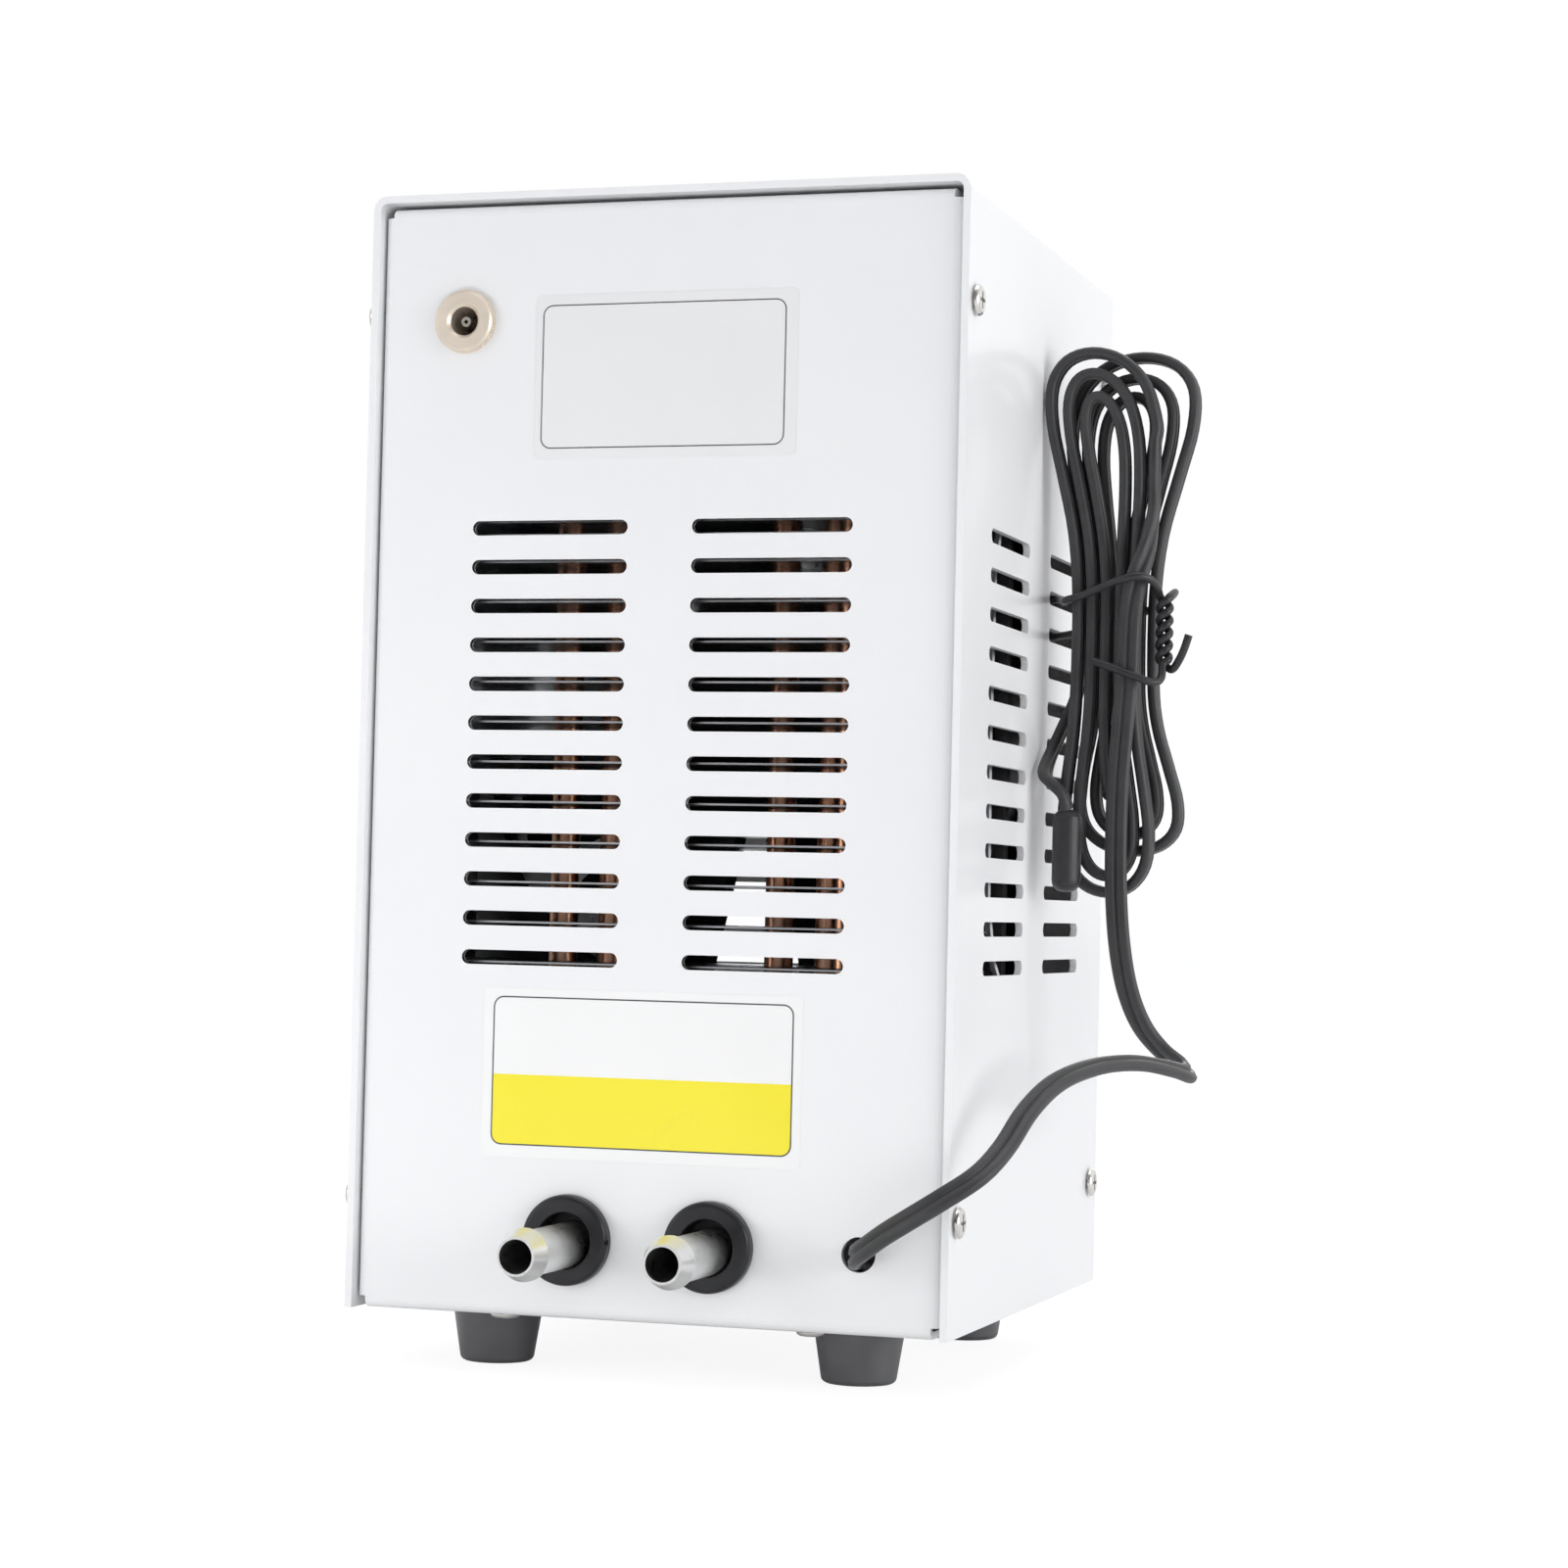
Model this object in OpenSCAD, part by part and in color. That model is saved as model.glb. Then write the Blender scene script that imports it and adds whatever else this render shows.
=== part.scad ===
// Small thermoelectric aquarium chiller in a folded sheet-metal case.
// The connection panel with its water ports faces -Y and the display faces +Y.
// The origin is on the floor, under the middle of the case with its ports.

/* [Case] */
// Outside width of the cover
case_w = 128; // [124:1:150]
// Outside depth of the cover, from the connection end to the display end
case_d = 134; // [130:1:170]
// Outside height of the case without its feet
case_h = 230; // [226:1:260]
// Thickness of the painted sheet
sheet = 1.5; // [1:0.1:1.8]
// Outside radius of the cover's two long folds
cover_fold = 3; // [2:0.25:4]
// Outside radius of the tray's folds
tray_fold = 2; // [1.9:0.1:3]
// How far the end panels sit inside the cover's edges
panel_recess = 1.8; // [1:0.1:3]
// Gap between the tray and the cover
case_gap = 0.3; // [0.2:0.05:0.5]
// Depth of the tray's side flanges, which the cover is screwed to
flange_d = 13; // [12:0.5:16]

/* [Vents] */
// Length of a vent slot, end to end
vent_len = 33.8; // [24:0.2:35]
// Height of a vent slot
vent_h = 3; // [2:0.1:4]
// Height from one row of slots to the next
vent_pitch = 8; // [7:0.1:8.5]
// Number of rows
vent_rows = 12; // [8:1:12]
// Height of the middle of the rows above the case's bottom
vent_mid = 116.7; // [112:0.1:118]
// Distance of each column from the middle of an end panel
end_vent_x = 23.8; // [19:0.1:26]
// Distance of each column from the middle of the side's two columns
side_vent_y = 26.4; // [20:0.1:27]
// Middle of the side's two columns, from the cover's connection edge
side_vent_mid = 66; // [64:0.5:70]

/* [Screws and feet] */
// Radius of the cover screws' shanks
screw_r = 1.45; // [1.2:0.05:1.6]
// Radius of the cover screws' pan heads
head_r = 3.2; // [2.8:0.1:3.6]
// Height of the pan heads
head_h = 1.6; // [1.2:0.1:2]
// Length of the cover screws' shanks
screw_len = 6; // [5:0.5:8]
// Height of the lower side screws above the case's bottom
screw_low = 23; // [20:1:26]
// Distance of the upper side screws below the case's top
screw_drop = 24.5; // [20:0.5:30]
// Distance of the side screws from the cover's connection edge
screw_rear = 5; // [4.6:0.1:6]
// Distance of the side screws from the cover's display edge
screw_front = 8; // [6:0.5:9]
// Height of the rubber feet
foot_h = 12; // [9:0.5:16]
// Radius of a foot at its top
foot_top_r = 9.5; // [8.5:0.25:11]
// Radius of a foot at its bottom, before its edge is rounded
foot_low_r = 7.8; // [7:0.1:8.2]
// Distance of the feet from the case's middle, sideways
foot_x = 39.5; // [36:0.5:44]
// Distance of the feet from the cover's edges
foot_y = 24; // [18:0.5:28]

/* [Water ports] */
// Distance between the two ports
port_pitch = 30.2; // [28:0.1:34]
// How far the pair of ports is off the middle
port_shift = -0.9; // [-2:0.1:2]
// Height of the grommets and the probe hole above the case's bottom
port_z = 16; // [15:0.25:18]
// How far the spigots reach out of the cover's edge
spigot_out = 27; // [20:0.5:32]
// Outside radius of the spigot tube
tube_r = 4.55; // [4:0.05:4.8]
// Radius of the water way
bore_r = 3.4; // [2.6:0.05:3.5]
// Radius of the bead that holds the hose
bead_r = 5.3; // [5:0.05:5.5]
// Outside radius of a grommet
grommet_r = 9.2; // [8.6:0.1:10.5]
// Radius of a grommet's hole
grommet_hole_r = 5.65; // [5.6:0.05:6.2]
// How far a grommet stands out of the panel
grommet_out = 2.8; // [2:0.1:3.5]
// Radius of the bare hole for the probe cord
probe_hole_r = 3.5; // [3:0.1:4.5]
// Distance of the probe hole from the cover's right side
probe_side = 18.8; // [17:0.2:20]

/* [Power socket] */
// Radius of the knurled flange
jack_flange_r = 6.55; // [6:0.05:7.5]
// Thickness of the flange
jack_flange_t = 2; // [1.5:0.1:3]
// Radius of the threaded barrel
jack_barrel_r = 5.4; // [5:0.05:5.6]
// Radius of the hole that takes the plug
jack_bore_r = 3; // [2.8:0.05:3.3]
// Number of teeth in the knurl
jack_teeth = 60; // [40:4:72]
// Distance of the socket from the cover's left side
jack_side = 20.7; // [18:0.5:24]
// Distance of the socket below the case's top
jack_drop = 26.5; // [20:0.5:34]

/* [Cooler] */
// How far the fins stop short of the fan's sides
fin_inset = 3; // [2:0.5:8]
// Depth of the fins
fin_d = 48; // [44:0.5:50]
// Thickness of a fin
fin_t = 0.4; // [0.3:0.05:0.6]
// Distance from one fin to the next
fin_pitch = 2.75; // [2.4:0.05:3]
// Number of fins
fin_count = 42; // [36:1:43]
// Height of the lowest fin above the case's bottom
fin_low = 66; // [64:0.5:68]
// Gap between the connection panel and the fins
fin_gap = 4.5; // [3.5:0.25:6]
// Radius of the heat pipes
pipe_r = 3; // [2.5:0.1:3.2]
// Distance of the outer pipe's legs from the middle
pipe_out_x = 29.4; // [27:0.2:32]
// Distance of the inner pipe's legs from the middle
pipe_in_x = 18.4; // [17:0.2:20]
// Side of the square thermoelectric module
peltier_w = 40; // [38:0.5:42]
// Thickness of the thermoelectric module
peltier_t = 3.8; // [3.2:0.1:4.2]
// Width of the water block
block_w = 52; // [50:1:54]
// Height of the water block
block_h = 12; // [11.5:0.25:13]

/* [Fan] */
// Gap between the square fan and the cover's sides
fan_side = 2.5; // [2:0.1:5]
// Thickness of the fan
fan_t = 25; // [20:0.5:28]
// Height of the fan's middle above the case's bottom
fan_mid = 121; // [118:0.5:124]
// Least wall round the fan's air way
fan_rim = 2.4; // [2:0.1:6]
// Gap between the blade tips and the air way
tip_gap = 1.4; // [0.8:0.1:2]
// Radius of the rotor's hub
hub_r = 20; // [17:0.5:22]
// Number of blades
blade_count = 7; // [5:1:9]
// Radius of the rotor's shaft
shaft_r = 1.5; // [1.2:0.05:1.8]
// Running clearance of the shaft in its bearing
shaft_clear = 0.05; // [0.03:0.01:0.08]

/* [Display] */
// Width of the display unit's bezel
bezel_w = 60; // [54:1:70]
// Height of the bezel
bezel_h = 45; // [42:0.5:48]
// Thickness of the bezel
bezel_t = 3; // [2.5:0.1:4]
// Depth of the unit behind the panel
unit_d = 28; // [26:0.5:32]
// Distance of the unit's middle below the case's top
unit_drop = 34; // [32:0.5:36]
// Radius of a push button
button_r = 2.8; // [2.2:0.1:3.2]
// How far a button stands out of the bezel
button_out = 1.2; // [0.9:0.1:2]
// How far a button travels when it is pressed
button_travel = 0.5; // [0.3:0.05:0.7]

/* [Probe cord] */
// Width of the flat twin cord
cord_w = 4.8; // [4:0.1:5]
// Thickness of the flat twin cord
cord_t = 2.5; // [2.2:0.05:2.6]
// Length of the probe's capsule
capsule_len = 17.5; // [14:0.5:24]
// Width of the capsule
capsule_w = 6.2; // [5.5:0.1:7]
// Diameter of the tie's coated wire
tie_d = 1.7; // [1.4:0.05:1.9]

/* [Hidden] */

// Roundness of true circles, and steps in a folded corner
$fn = 48;
fold_steps = 5;
// Cuts run past their solid by this much
over = 1;
// Clearance of a screw or tube in its hole, and between round parts that touch
hole_gap = 0.2;
seat_gap = 0.05;

// Places of the case in the part's frame
front_reach = bezel_t + button_out - panel_recess;
yr = (spigot_out - front_reach - case_d)/2;
yf = yr + case_d;
mid_y = (yr + yf)/2;
z0 = foot_h;
z_top = z0 + case_h;
rear_face = yr + panel_recess;
front_face = yf - panel_recess;
tray_w = case_w - 2*sheet - 2*case_gap;
lid_gap = 0.8;
tray_top = z_top - sheet - lid_gap;
tray_floor = z0 + sheet;
lip_d = 9;
corner_cut = 2.4;

// The square fan fills the cover's width, and the fins are a little narrower
fan_w = case_w - 2*(sheet + fan_side);
fan_bore_r = fan_w/2 - fan_rim;
fin_w = fan_w - 2*fin_inset;

// Vent rows, from the lowest
vent_low = z0 + vent_mid - (vent_rows - 1)*vent_pitch/2;
vent_zs = [for (i = [0:vent_rows - 1]) vent_low + i*vent_pitch];
side_vent_ys = [yr + side_vent_mid - side_vent_y, yr + side_vent_mid + side_vent_y];

// Screws in the cover's sides
side_screw_ys = [yr + screw_rear, yf - screw_front];
side_screw_zs = [z0 + screw_low, z_top - screw_drop];
head_round_share = 0.6;
cross_w = 0.7;
cross_len = 3.4;
cross_d = 0.9;
// How far a shank runs on into its head
head_root = (head_h - cross_d)/2;

// Feet
foot_ys = [yr + foot_y, yf - foot_y];
foot_xs = [-foot_x, foot_x];
foot_edge_r = 1.4;
foot_well_r = 4.2;
foot_well_d = 5;
foot_bolt_r = 2;
foot_head_r = 3.8;
foot_head_h = 2.4;
foot_nut_r = 4;
foot_nut_h = 3.2;
foot_bolt_tail = 0.8;

// Water ports
port_xs = [port_shift - port_pitch/2, port_shift + port_pitch/2];
port_height = z0 + port_z;
tube_gap = 0.1;
tube_height = port_height - grommet_hole_r + tube_r + tube_gap;
tip_wall = 0.5;
bead_len = 4.2;
bead_land = 0.8;
bead_back = 1.1;
spigot_seat = 5;
grommet_neck_r = (grommet_r + grommet_hole_r)/2;
grommet_in = 1.8;
grommet_in_r = grommet_r - 0.6;
grommet_edge = 1.1;
grommet_lip = 0.5;
nick_r = 0.5;
probe_x = case_w/2 - probe_side;
probe_height = z0 + port_z;

// Power socket
jack_x = -case_w/2 + jack_side;
jack_height = z_top - jack_drop;
jack_depth = 10;
jack_barrel_len = 12;
jack_bevel = 0.5;
jack_step = 0.12;
jack_mouth = 0.6;
knurl_d = 0.25;
jack_pin_r = 1.05;
jack_pin_hole_r = 0.4;
jack_pin_back = 1.6;
jack_nut_r = 7.4;
jack_nut_t = 2.2;
tab_w = 2;
tab_t = 0.5;
tab_len = 5;
tab_spread = 1.9;

// Water block and module, stacked up from the tray
cooler_y = rear_face + fin_gap + fin_d/2;
block_d = 50;
block_low = tube_height - block_h/2;
block_top = block_low + block_h;
block_rear = cooler_y - block_d/2;
cross_r = 3;
channel_back = 9;
channel_y = cooler_y + block_d/2 - channel_back;
plug_len = 6;
plug_key_r = 1.5;
plug_key_d = 2.5;
pad_inset = 2;
module_top = block_top + peltier_t;
ceramic_t = 0.8;
pellet_inset = 1.2;
gasket_w = 4.5;
gasket_gap = 0.4;
lead_notch = 8;
base_w = 50;
base_d = 46;
base_h = 16;
base_top = module_top + base_h;
pipe_low = 1.6;
pipe_space = 0.4;
outer_pipe_z = module_top + pipe_low + pipe_r;
inner_pipe_z = outer_pipe_z + 2*pipe_r + pipe_space;
pipe_bend = 12;
pipe_gap = 0.05;
pipe_end = 4;
pipe_round = 1.2;
fin_z = z0 + fin_low;
fin_top = fin_z + (fin_count - 1)*fin_pitch + fin_t;
pipe_top = fin_top + pipe_end;
fin_edge_w = 9;
fin_step = 2;
fold_tab_y = 14;
fold_tab_w = 7;
fold_tab_t = 0.5;

// Clamp over the heatsink's base
bar_w = 8;
bar_t = 2;
bar_len = 74;
bar_edge = 0.5;
bar_y = base_d/2 - bar_w/2 - bar_edge;
bolt_end = 4;
bolt_x = bar_len/2 - bolt_end;
clamp_nut_r = 3.2;
clamp_nut_h = 2.4;
clamp_tail = 1;

// Fan
fan_seat = 0.3;
fan_rear = rear_face + fin_gap + fin_d + fan_seat;
fan_height = z0 + fan_mid;
fan_flange = 4;
fan_corner = 4;
fan_wall = 2;
fan_hole_edge = 7.5;
fan_hole = fan_w/2 - fan_hole_edge;
fan_hole_r = 2.2;
mount_t = 3;
mount_r = hub_r + 1.5;
strut_w = 4;
strut_t = 3.4;
strut_count = 4;
bearing_r = 3.4;
bearing_len = 14;
bearing_lift = 0.6;
boss_wall = 1.6;
boss_len = 14;
stator_r = 14;
stator_len = 11;
stator_lift = 2;
pole_count = 4;
pole_w = 7;
pole_neck_w = 4;
pole_shoe_t = 2.5;
cup_wall = 1.8;
cup_gap = 0.8;
cup_h = 19;
cup_round = 2;
rotor_boss_r = 3;
rotor_boss_h = 1.5;
shaft_back = 0.4;
blade_t = 1.6;
blade_curve_r = 42;
blade_root_w = 23;
blade_tip_w = 40;
blade_sweep = 11;
blade_tilt = 25;
blade_deep = 16;
blade_steps = 6;
blade_tip_r = fan_bore_r - tip_gap;
clip_r = 0.8;
clip_reach = 7;
clip_lean = 18;
clip_gap = 0.15;
clip_fin_gap = 0.5;

// Display unit
unit_height = z_top - unit_drop;
unit_w = 54;
unit_h = 39;
unit_wall = 1.6;
bezel_edge = 2.5;
bezel_face = front_face + bezel_t;
window_w = 44;
window_h = 18;
window_rise = 6;
window_t = 1.2;
window_ledge = 1;
button_drop = 14;
button_pitch = 14;
button_gap = 0.15;
button_round = 0.6;
skirt_r = 3.8;
skirt_t = 1;
skirt_gap = 0.1;
stem_r = 1.5;
press_gap = 0.3;
board_w = 50;
board_h = 35;
board_t = 1.6;
board_back = 9;
key_w = 6;
key_t = 3.5;
key_plunger_r = 1.7;
key_plunger_t = 0.8;
digit_w = 40;
digit_h = 15;
digit_gap = 0.3;
key_top = front_face - board_back + key_t + key_plunger_t;
clip_w = 8;
clip_t = 2;
clip_len = 12;
clip_tip = 0.8;
terminal_w = 40;
terminal_h = 10;
terminal_t = 8;
pole_hole_r = 2;
pole_hole_d = 1.5;
poles = 6;
pole_pitch = 6.4;
unit_back = front_face - unit_d;
terminal_back = unit_back - terminal_t;

// Leads inside the case
lead_r = 0.9;
lead_pitch = 3;
lead_sides = 6;
lead_steps = 3;
lead_gap = 0.3;
lead_straight = 6;
lead_slack = 4;
side_run_gap = 12;

// Flat cord: where it is hung, and the strands of its hank at the waist
hank_x = 80;
hank_y = yr + 70;
strand_gap = 0.6;
strand_pitch = cord_t + strand_gap;
layer_pitch = cord_w + strand_gap;
waist_high = 164;
waist_low = 146;

// Half turns of the hank. Each starts and ends at the waist, so many strands from the
// middle, in its layers, and has its height, its bulge on both sides and its shift
front = -layer_pitch/2;
back = layer_pitch/2;
top_turns = [
    [2.5, -2.5, front, front, 52.5, 6.4, -5.5],
    [1.5, -1.5, front, front, 48, 4.4, -5.3],
    [0.5, -0.5, front, front, 43, 3, -4.2],
    [0.5, -0.5, back, back, 43.5, 4.6, 2.6],
    [1.5, -1.5, back, back, 47.5, 6.3, 3.2],
    [2.5, -2.5, back, back, 52, 8.3, 4.5]
];
low_turns = [
    [-2.5, 1.5, front, front, 45, 5.3, 1.5],
    [-1.5, 0.5, front, front, 41.5, 4, 1.3],
    [-0.5, 0.5, front, back, 24, 0, -0.2],
    [-0.5, 1.5, back, back, 32.6, 4.8, 1.6],
    [-1.5, 2.5, back, back, 36, 6.8, 2.6]
];
turn_steps = 12;
first_step = 3;
// The bulge is greatest where sin(a)*sin(a)*cos(a) is, and this share of it is one
bulge_share = 0.385;

// The hank's start, and its end: round the left side to the front, into the capsule
hank_start = [
    [hank_x + 8.3, hank_y + front, 190], [hank_x + 8.3, hank_y + front, 193],
    [hank_x + 8.3, hank_y + front, 197]
];
hank_end = [
    [72, 18.2, 150], [71.2, 18.4, 142], [67.3, 17.4, 133.5], [66.5, 13, 127.4],
    [66.7, 8.8, 123.7], [67.6, 6.8, 122.3], [70.1, 5.9, 121.2], [72, 6.4, 119.9],
    [72.1, 6.6, 118.4]
];
end_steps = 3;
capsule_x = 72.1;
capsule_y = 6.6;
capsule_top = 118.4;
capsule_round = 2.4;

// The free run: out of the bare hole, round in front of the hank and up to its start
run_points = [
    [45, -51.4, 27.5], [45, -55, 27.6], [46.5, -59, 28.6], [49.5, -62.5, 30.5],
    [54, -65.5, 33.5], [59.7, -67.5, 37], [65.5, -67.5, 40.7], [72, -64, 45.5],
    [75.2, -57, 50.5], [77.6, -47, 57.5], [80.6, -35, 62.6], [85.4, -21, 65.4],
    [91, -9, 65.9], [96, 1, 64.6], [98.4, 8.4, 63.4], [96.8, 13.8, 64.4],
    [91.8, 15.2, 67.6], [87.6, 13.2, 73], [84.9, 10.6, 80.6], [83.4, 8.8, 90],
    [82.6, 8.1, 101], [82.4, 8, 113], [82.6, 8, 125], [83.4, 7.9, 137],
    [84.2, 7.8, 148], [84.6, 7.4, 158], [85.6, 6.8, 166], [87.8, 8.4, 174],
    [88.4, 11.6, 182], [88.3, 12.6, 187], [88.3, 12.6, 190]
];
run_steps = 2;
run_sides = 8;
// It leaves the hole with its wide side upright, and turns that side twice on the way
first_twist = [11, 19];
second_twist = [25, 28];

// The tie: one wire, twisted with itself at the right of the hank
pair_x = hank_x + 11.25;
pair_y = hank_y - 4;
pair_r = 1.1;
pair_low = 149.5;
pair_high = 164;
pair_turns = 2.75;
pair_steps = 17;
tie_steps = 2;
tie_first_end = [
    [77.4, 5.9, 149.8], [82, 5.3, 148.2], [86.5, 5.3, 146.5], [89.8, 6.8, 145.4],
    [91.2, 8.8, 146.4]
];
tie_wrap = [
    [90.1, 8, 165.7], [88.9, 5.2, 167.2], [86.4, 3.5, 167.6], [82.5, 3.5, 166.6],
    [78, 5.9, 165.2], [73.5, 8.6, 163.9], [70.2, 10.2, 163.2], [68.8, 14, 163.2],
    [67.4, 18.6, 163.9], [65.6, 23.4, 164.6], [63.2, 26.2, 164.7], [61.2, 26.7, 162.9],
    [61.1, 26.7, 160.7], [61.2, 26.7, 158.5], [63.2, 26.2, 156.7], [66, 24.4, 156.7],
    [70, 22.3, 157.2], [74.5, 21.7, 158.4], [80, 21.6, 160], [85.4, 21.6, 161.8],
    [89.2, 21, 163.6], [91.6, 18.4, 165], [92.6, 14.8, 165.2]
];
tie_last_end = [
    [92.9, 12, 148.5], [94.4, 11.6, 150.4], [95.6, 11.4, 153], [96.5, 11.3, 155.8]
];

// A line folded at right angles to the left, as a closed outline of sheet
function way(p, q) = (q - p)/norm(q - p);
function left_of(d) = [-d[1], d[0]];
function fold_arc(corner, d, bend, reach) =
    let (middle = corner - d*bend + left_of(d)*bend)
    [for (i = [0:fold_steps]) let (a = 90*i/fold_steps)
        middle - left_of(d)*reach*cos(a) + d*reach*sin(a)];
function folded(line, bend) =
    let (last = len(line) - 1, d0 = way(line[0], line[1]), d1 = way(line[last - 1], line[last]))
    concat(
        [line[0]],
        [for (i = [1:last - 1]) each fold_arc(line[i], way(line[i - 1], line[i]), bend, bend)],
        [line[last], line[last] + left_of(d1)*sheet],
        [for (i = [last - 1:-1:1])
            let (arc = fold_arc(line[i], way(line[i - 1], line[i]), bend, bend - sheet))
            each [for (k = [fold_steps:-1:0]) arc[k]]],
        [line[0] + left_of(d0)*sheet]
    );
// A quarter round from [r, 0] to [0, h], as points of a turned outline
function quarter(mid_r, mid_h, r, h) = [for (i = [0:fold_steps]) let (a = 90*i/fold_steps)
    [mid_r + r*cos(a), mid_h + h*sin(a)]];
// A smooth line through hand-placed points
function blend_point(a, b, c, d, t) =
    (2*b + (c - a)*t + (2*a - 5*b + 4*c - d)*t*t + (3*b - a - 3*c + d)*t*t*t)/2;
function smooth(points, steps) = let (last = len(points) - 1) concat(
    [for (i = [0:last - 1], j = [0:steps - 1]) blend_point(points[max(i - 1, 0)], points[i],
        points[i + 1], points[min(i + 2, last)], j/steps)],
    [points[last]]);
function unit(v) = v/norm(v);
function tangent(line, i) = unit(line[min(i + 1, len(line) - 1)] - line[max(i - 1, 0)]);
function flattened(v, t) = unit(v - (v*t)*t);
function carried(line, i, side) = i == len(line) ? [] :
    let (next = flattened(side, tangent(line, i))) concat([next], carried(line, i + 1, next));

// A tube along a line: each ring's wide side is given, and its outline is [wide, thin] points
module swept(line, sides, outline) {
    n = len(outline);
    last = len(line) - 1;
    points = [for (i = [0:last])
        let (t = tangent(line, i), wide = flattened(sides[i], t), thin = cross(t, wide))
        each [for (p = outline) line[i] + p[0]*wide + p[1]*thin]];
    faces = concat(
        [[for (k = [0:n - 1]) k]],
        [for (i = [0:last - 1], k = [0:n - 1]) let (m = (k + 1) % n) each [
            [i*n + k, (i + 1)*n + k, i*n + m],
            [i*n + m, (i + 1)*n + k, (i + 1)*n + m]]],
        [[for (k = [n - 1:-1:0]) last*n + k]]
    );
    polyhedron(points = points, faces = faces, convexity = 10);
}
// A thin round wire or lead through hand-placed points
module wire(points, radius, steps) {
    line = smooth(points, steps);
    ring = [for (k = [0:lead_sides - 1]) radius*[cos(360*k/lead_sides), sin(360*k/lead_sides)]];
    swept(line, carried(line, 0, [0.31, 0.52, 0.8]), ring);
}

// Axes: along +Y, along +X, and a profile whose height runs towards -Y
module along_y() rotate([-90, 0, 0]) children();
module along_x() rotate([0, 90, 0]) children();
module out_of_rear() rotate([90, 0, 0]) children();
// A flat outline drawn in X and Z, given its thickness towards +Y
module upright(thick) translate([0, thick, 0]) rotate([90, 0, 0]) linear_extrude(thick) children();

module slot_outline(long, wide) {
    square([long - wide, wide], center = true);
    for (end = [-1, 1]) translate([end*(long - wide)/2, 0]) circle(wide/2);
}
// A rectangle with round corners, about its middle
module rounded_plate(w, h, r) {
    square([w - 2*r, h], center = true);
    square([w, h - 2*r], center = true);
    for (x = [-1, 1], y = [-1, 1]) translate([x*(w/2 - r), y*(h/2 - r)]) circle(r);
}
// A pan head standing on z = 0, with a cross recess
module pan_head(r, h) {
    difference() {
        rotate_extrude() polygon(concat([[0, 0]], quarter(r - h*head_round_share, h*(1 - head_round_share),
            h*head_round_share, h*head_round_share), [[0, h]], [[0, 0]]));
        cross_recess(h);
    }
}
module cross_recess(h) {
    for (turn = [0, 90]) rotate(turn) translate([-cross_len/2, -cross_w/2, h - cross_d])
        cube([cross_len, cross_w, cross_d + over]);
}
module hex_nut(r, h, bolt_r) {
    difference() {
        cylinder(r = r, h = h, $fn = 6);
        translate([0, 0, -over]) cylinder(r = bolt_r + seat_gap, h = h + 2*over);
    }
}

// The tray: floor and both end panels in one folded strip, and the panels' side flanges
module end_vents() {
    for (x = [-end_vent_x, end_vent_x], z = vent_zs) translate([x, yr - over, z])
        upright(case_d + 2*over) slot_outline(vent_len, vent_h);
}
module tray_flanges() {
    line = [[-tray_w/2, rear_face + flange_d], [-tray_w/2, rear_face],
        [tray_w/2, rear_face], [tray_w/2, rear_face + flange_d]];
    translate([0, 0, z0 + corner_cut]) linear_extrude(tray_top - tray_fold - z0 - corner_cut)
        polygon(folded(line, tray_fold));
}
module base_tray() {
    strip_w = tray_w - 2*tray_fold;
    line = [[rear_face + lip_d, tray_top], [rear_face, tray_top], [rear_face, z0], [front_face, z0],
        [front_face, tray_top], [front_face - lip_d, tray_top]];
    color("white") difference() {
        union() {
            translate([-strip_w/2, 0, 0]) rotate([90, 0, 90]) linear_extrude(strip_w)
                polygon(folded(line, tray_fold));
            tray_flanges();
            translate([0, 2*mid_y, 0]) mirror([0, 1, 0]) tray_flanges();
        }
        end_vents();
        for (y = side_screw_ys, z = side_screw_zs) translate([-case_w/2, y, z]) along_x()
            cylinder(r = screw_r + seat_gap, h = case_w);
        for (x = foot_xs, y = foot_ys) translate([x, y, z0 - over])
            cylinder(r = foot_bolt_r + hole_gap, h = sheet + 2*over);
        for (x = [-bolt_x, bolt_x], y = [-bar_y, bar_y]) translate([x, cooler_y + y, z0 - over])
            cylinder(r = screw_r + hole_gap, h = sheet + 2*over);
        for (x = port_xs) translate([x, rear_face - over, port_height]) along_y()
            cylinder(r = grommet_neck_r + seat_gap, h = sheet + 2*over);
        translate([probe_x, rear_face - over, probe_height]) along_y()
            cylinder(r = probe_hole_r, h = sheet + 2*over);
        translate([jack_x, rear_face - over, jack_height]) along_y()
            cylinder(r = jack_barrel_r + seat_gap, h = sheet + 2*over);
        translate([0, front_face - sheet - over, unit_height]) upright(sheet + 2*over)
            square([unit_w + 2*hole_gap, unit_h + 2*hole_gap], center = true);
    }
}
module cover() {
    line = [[case_w/2, z0], [case_w/2, z_top], [-case_w/2, z_top], [-case_w/2, z0]];
    color("white") difference() {
        translate([0, yr, 0]) upright(case_d) polygon(folded(line, cover_fold));
        for (y = side_vent_ys, z = vent_zs) translate([-case_w/2 - over, y, z]) rotate([90, 0, 90])
            linear_extrude(case_w + 2*over) slot_outline(vent_len, vent_h);
        for (y = side_screw_ys, z = side_screw_zs) translate([-case_w/2 - over, y, z]) along_x()
            cylinder(r = screw_r + hole_gap, h = case_w + 2*over);
    }
}
module cover_screw() {
    pan_head(head_r, head_h);
    translate([0, 0, -screw_len]) cylinder(r = screw_r, h = screw_len + head_root);
}
module cover_screws() {
    color("silver") for (side = [0, 1], y = side_screw_ys, z = side_screw_zs) mirror([side, 0, 0])
        translate([case_w/2, y, z]) along_x() cover_screw();
}
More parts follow.
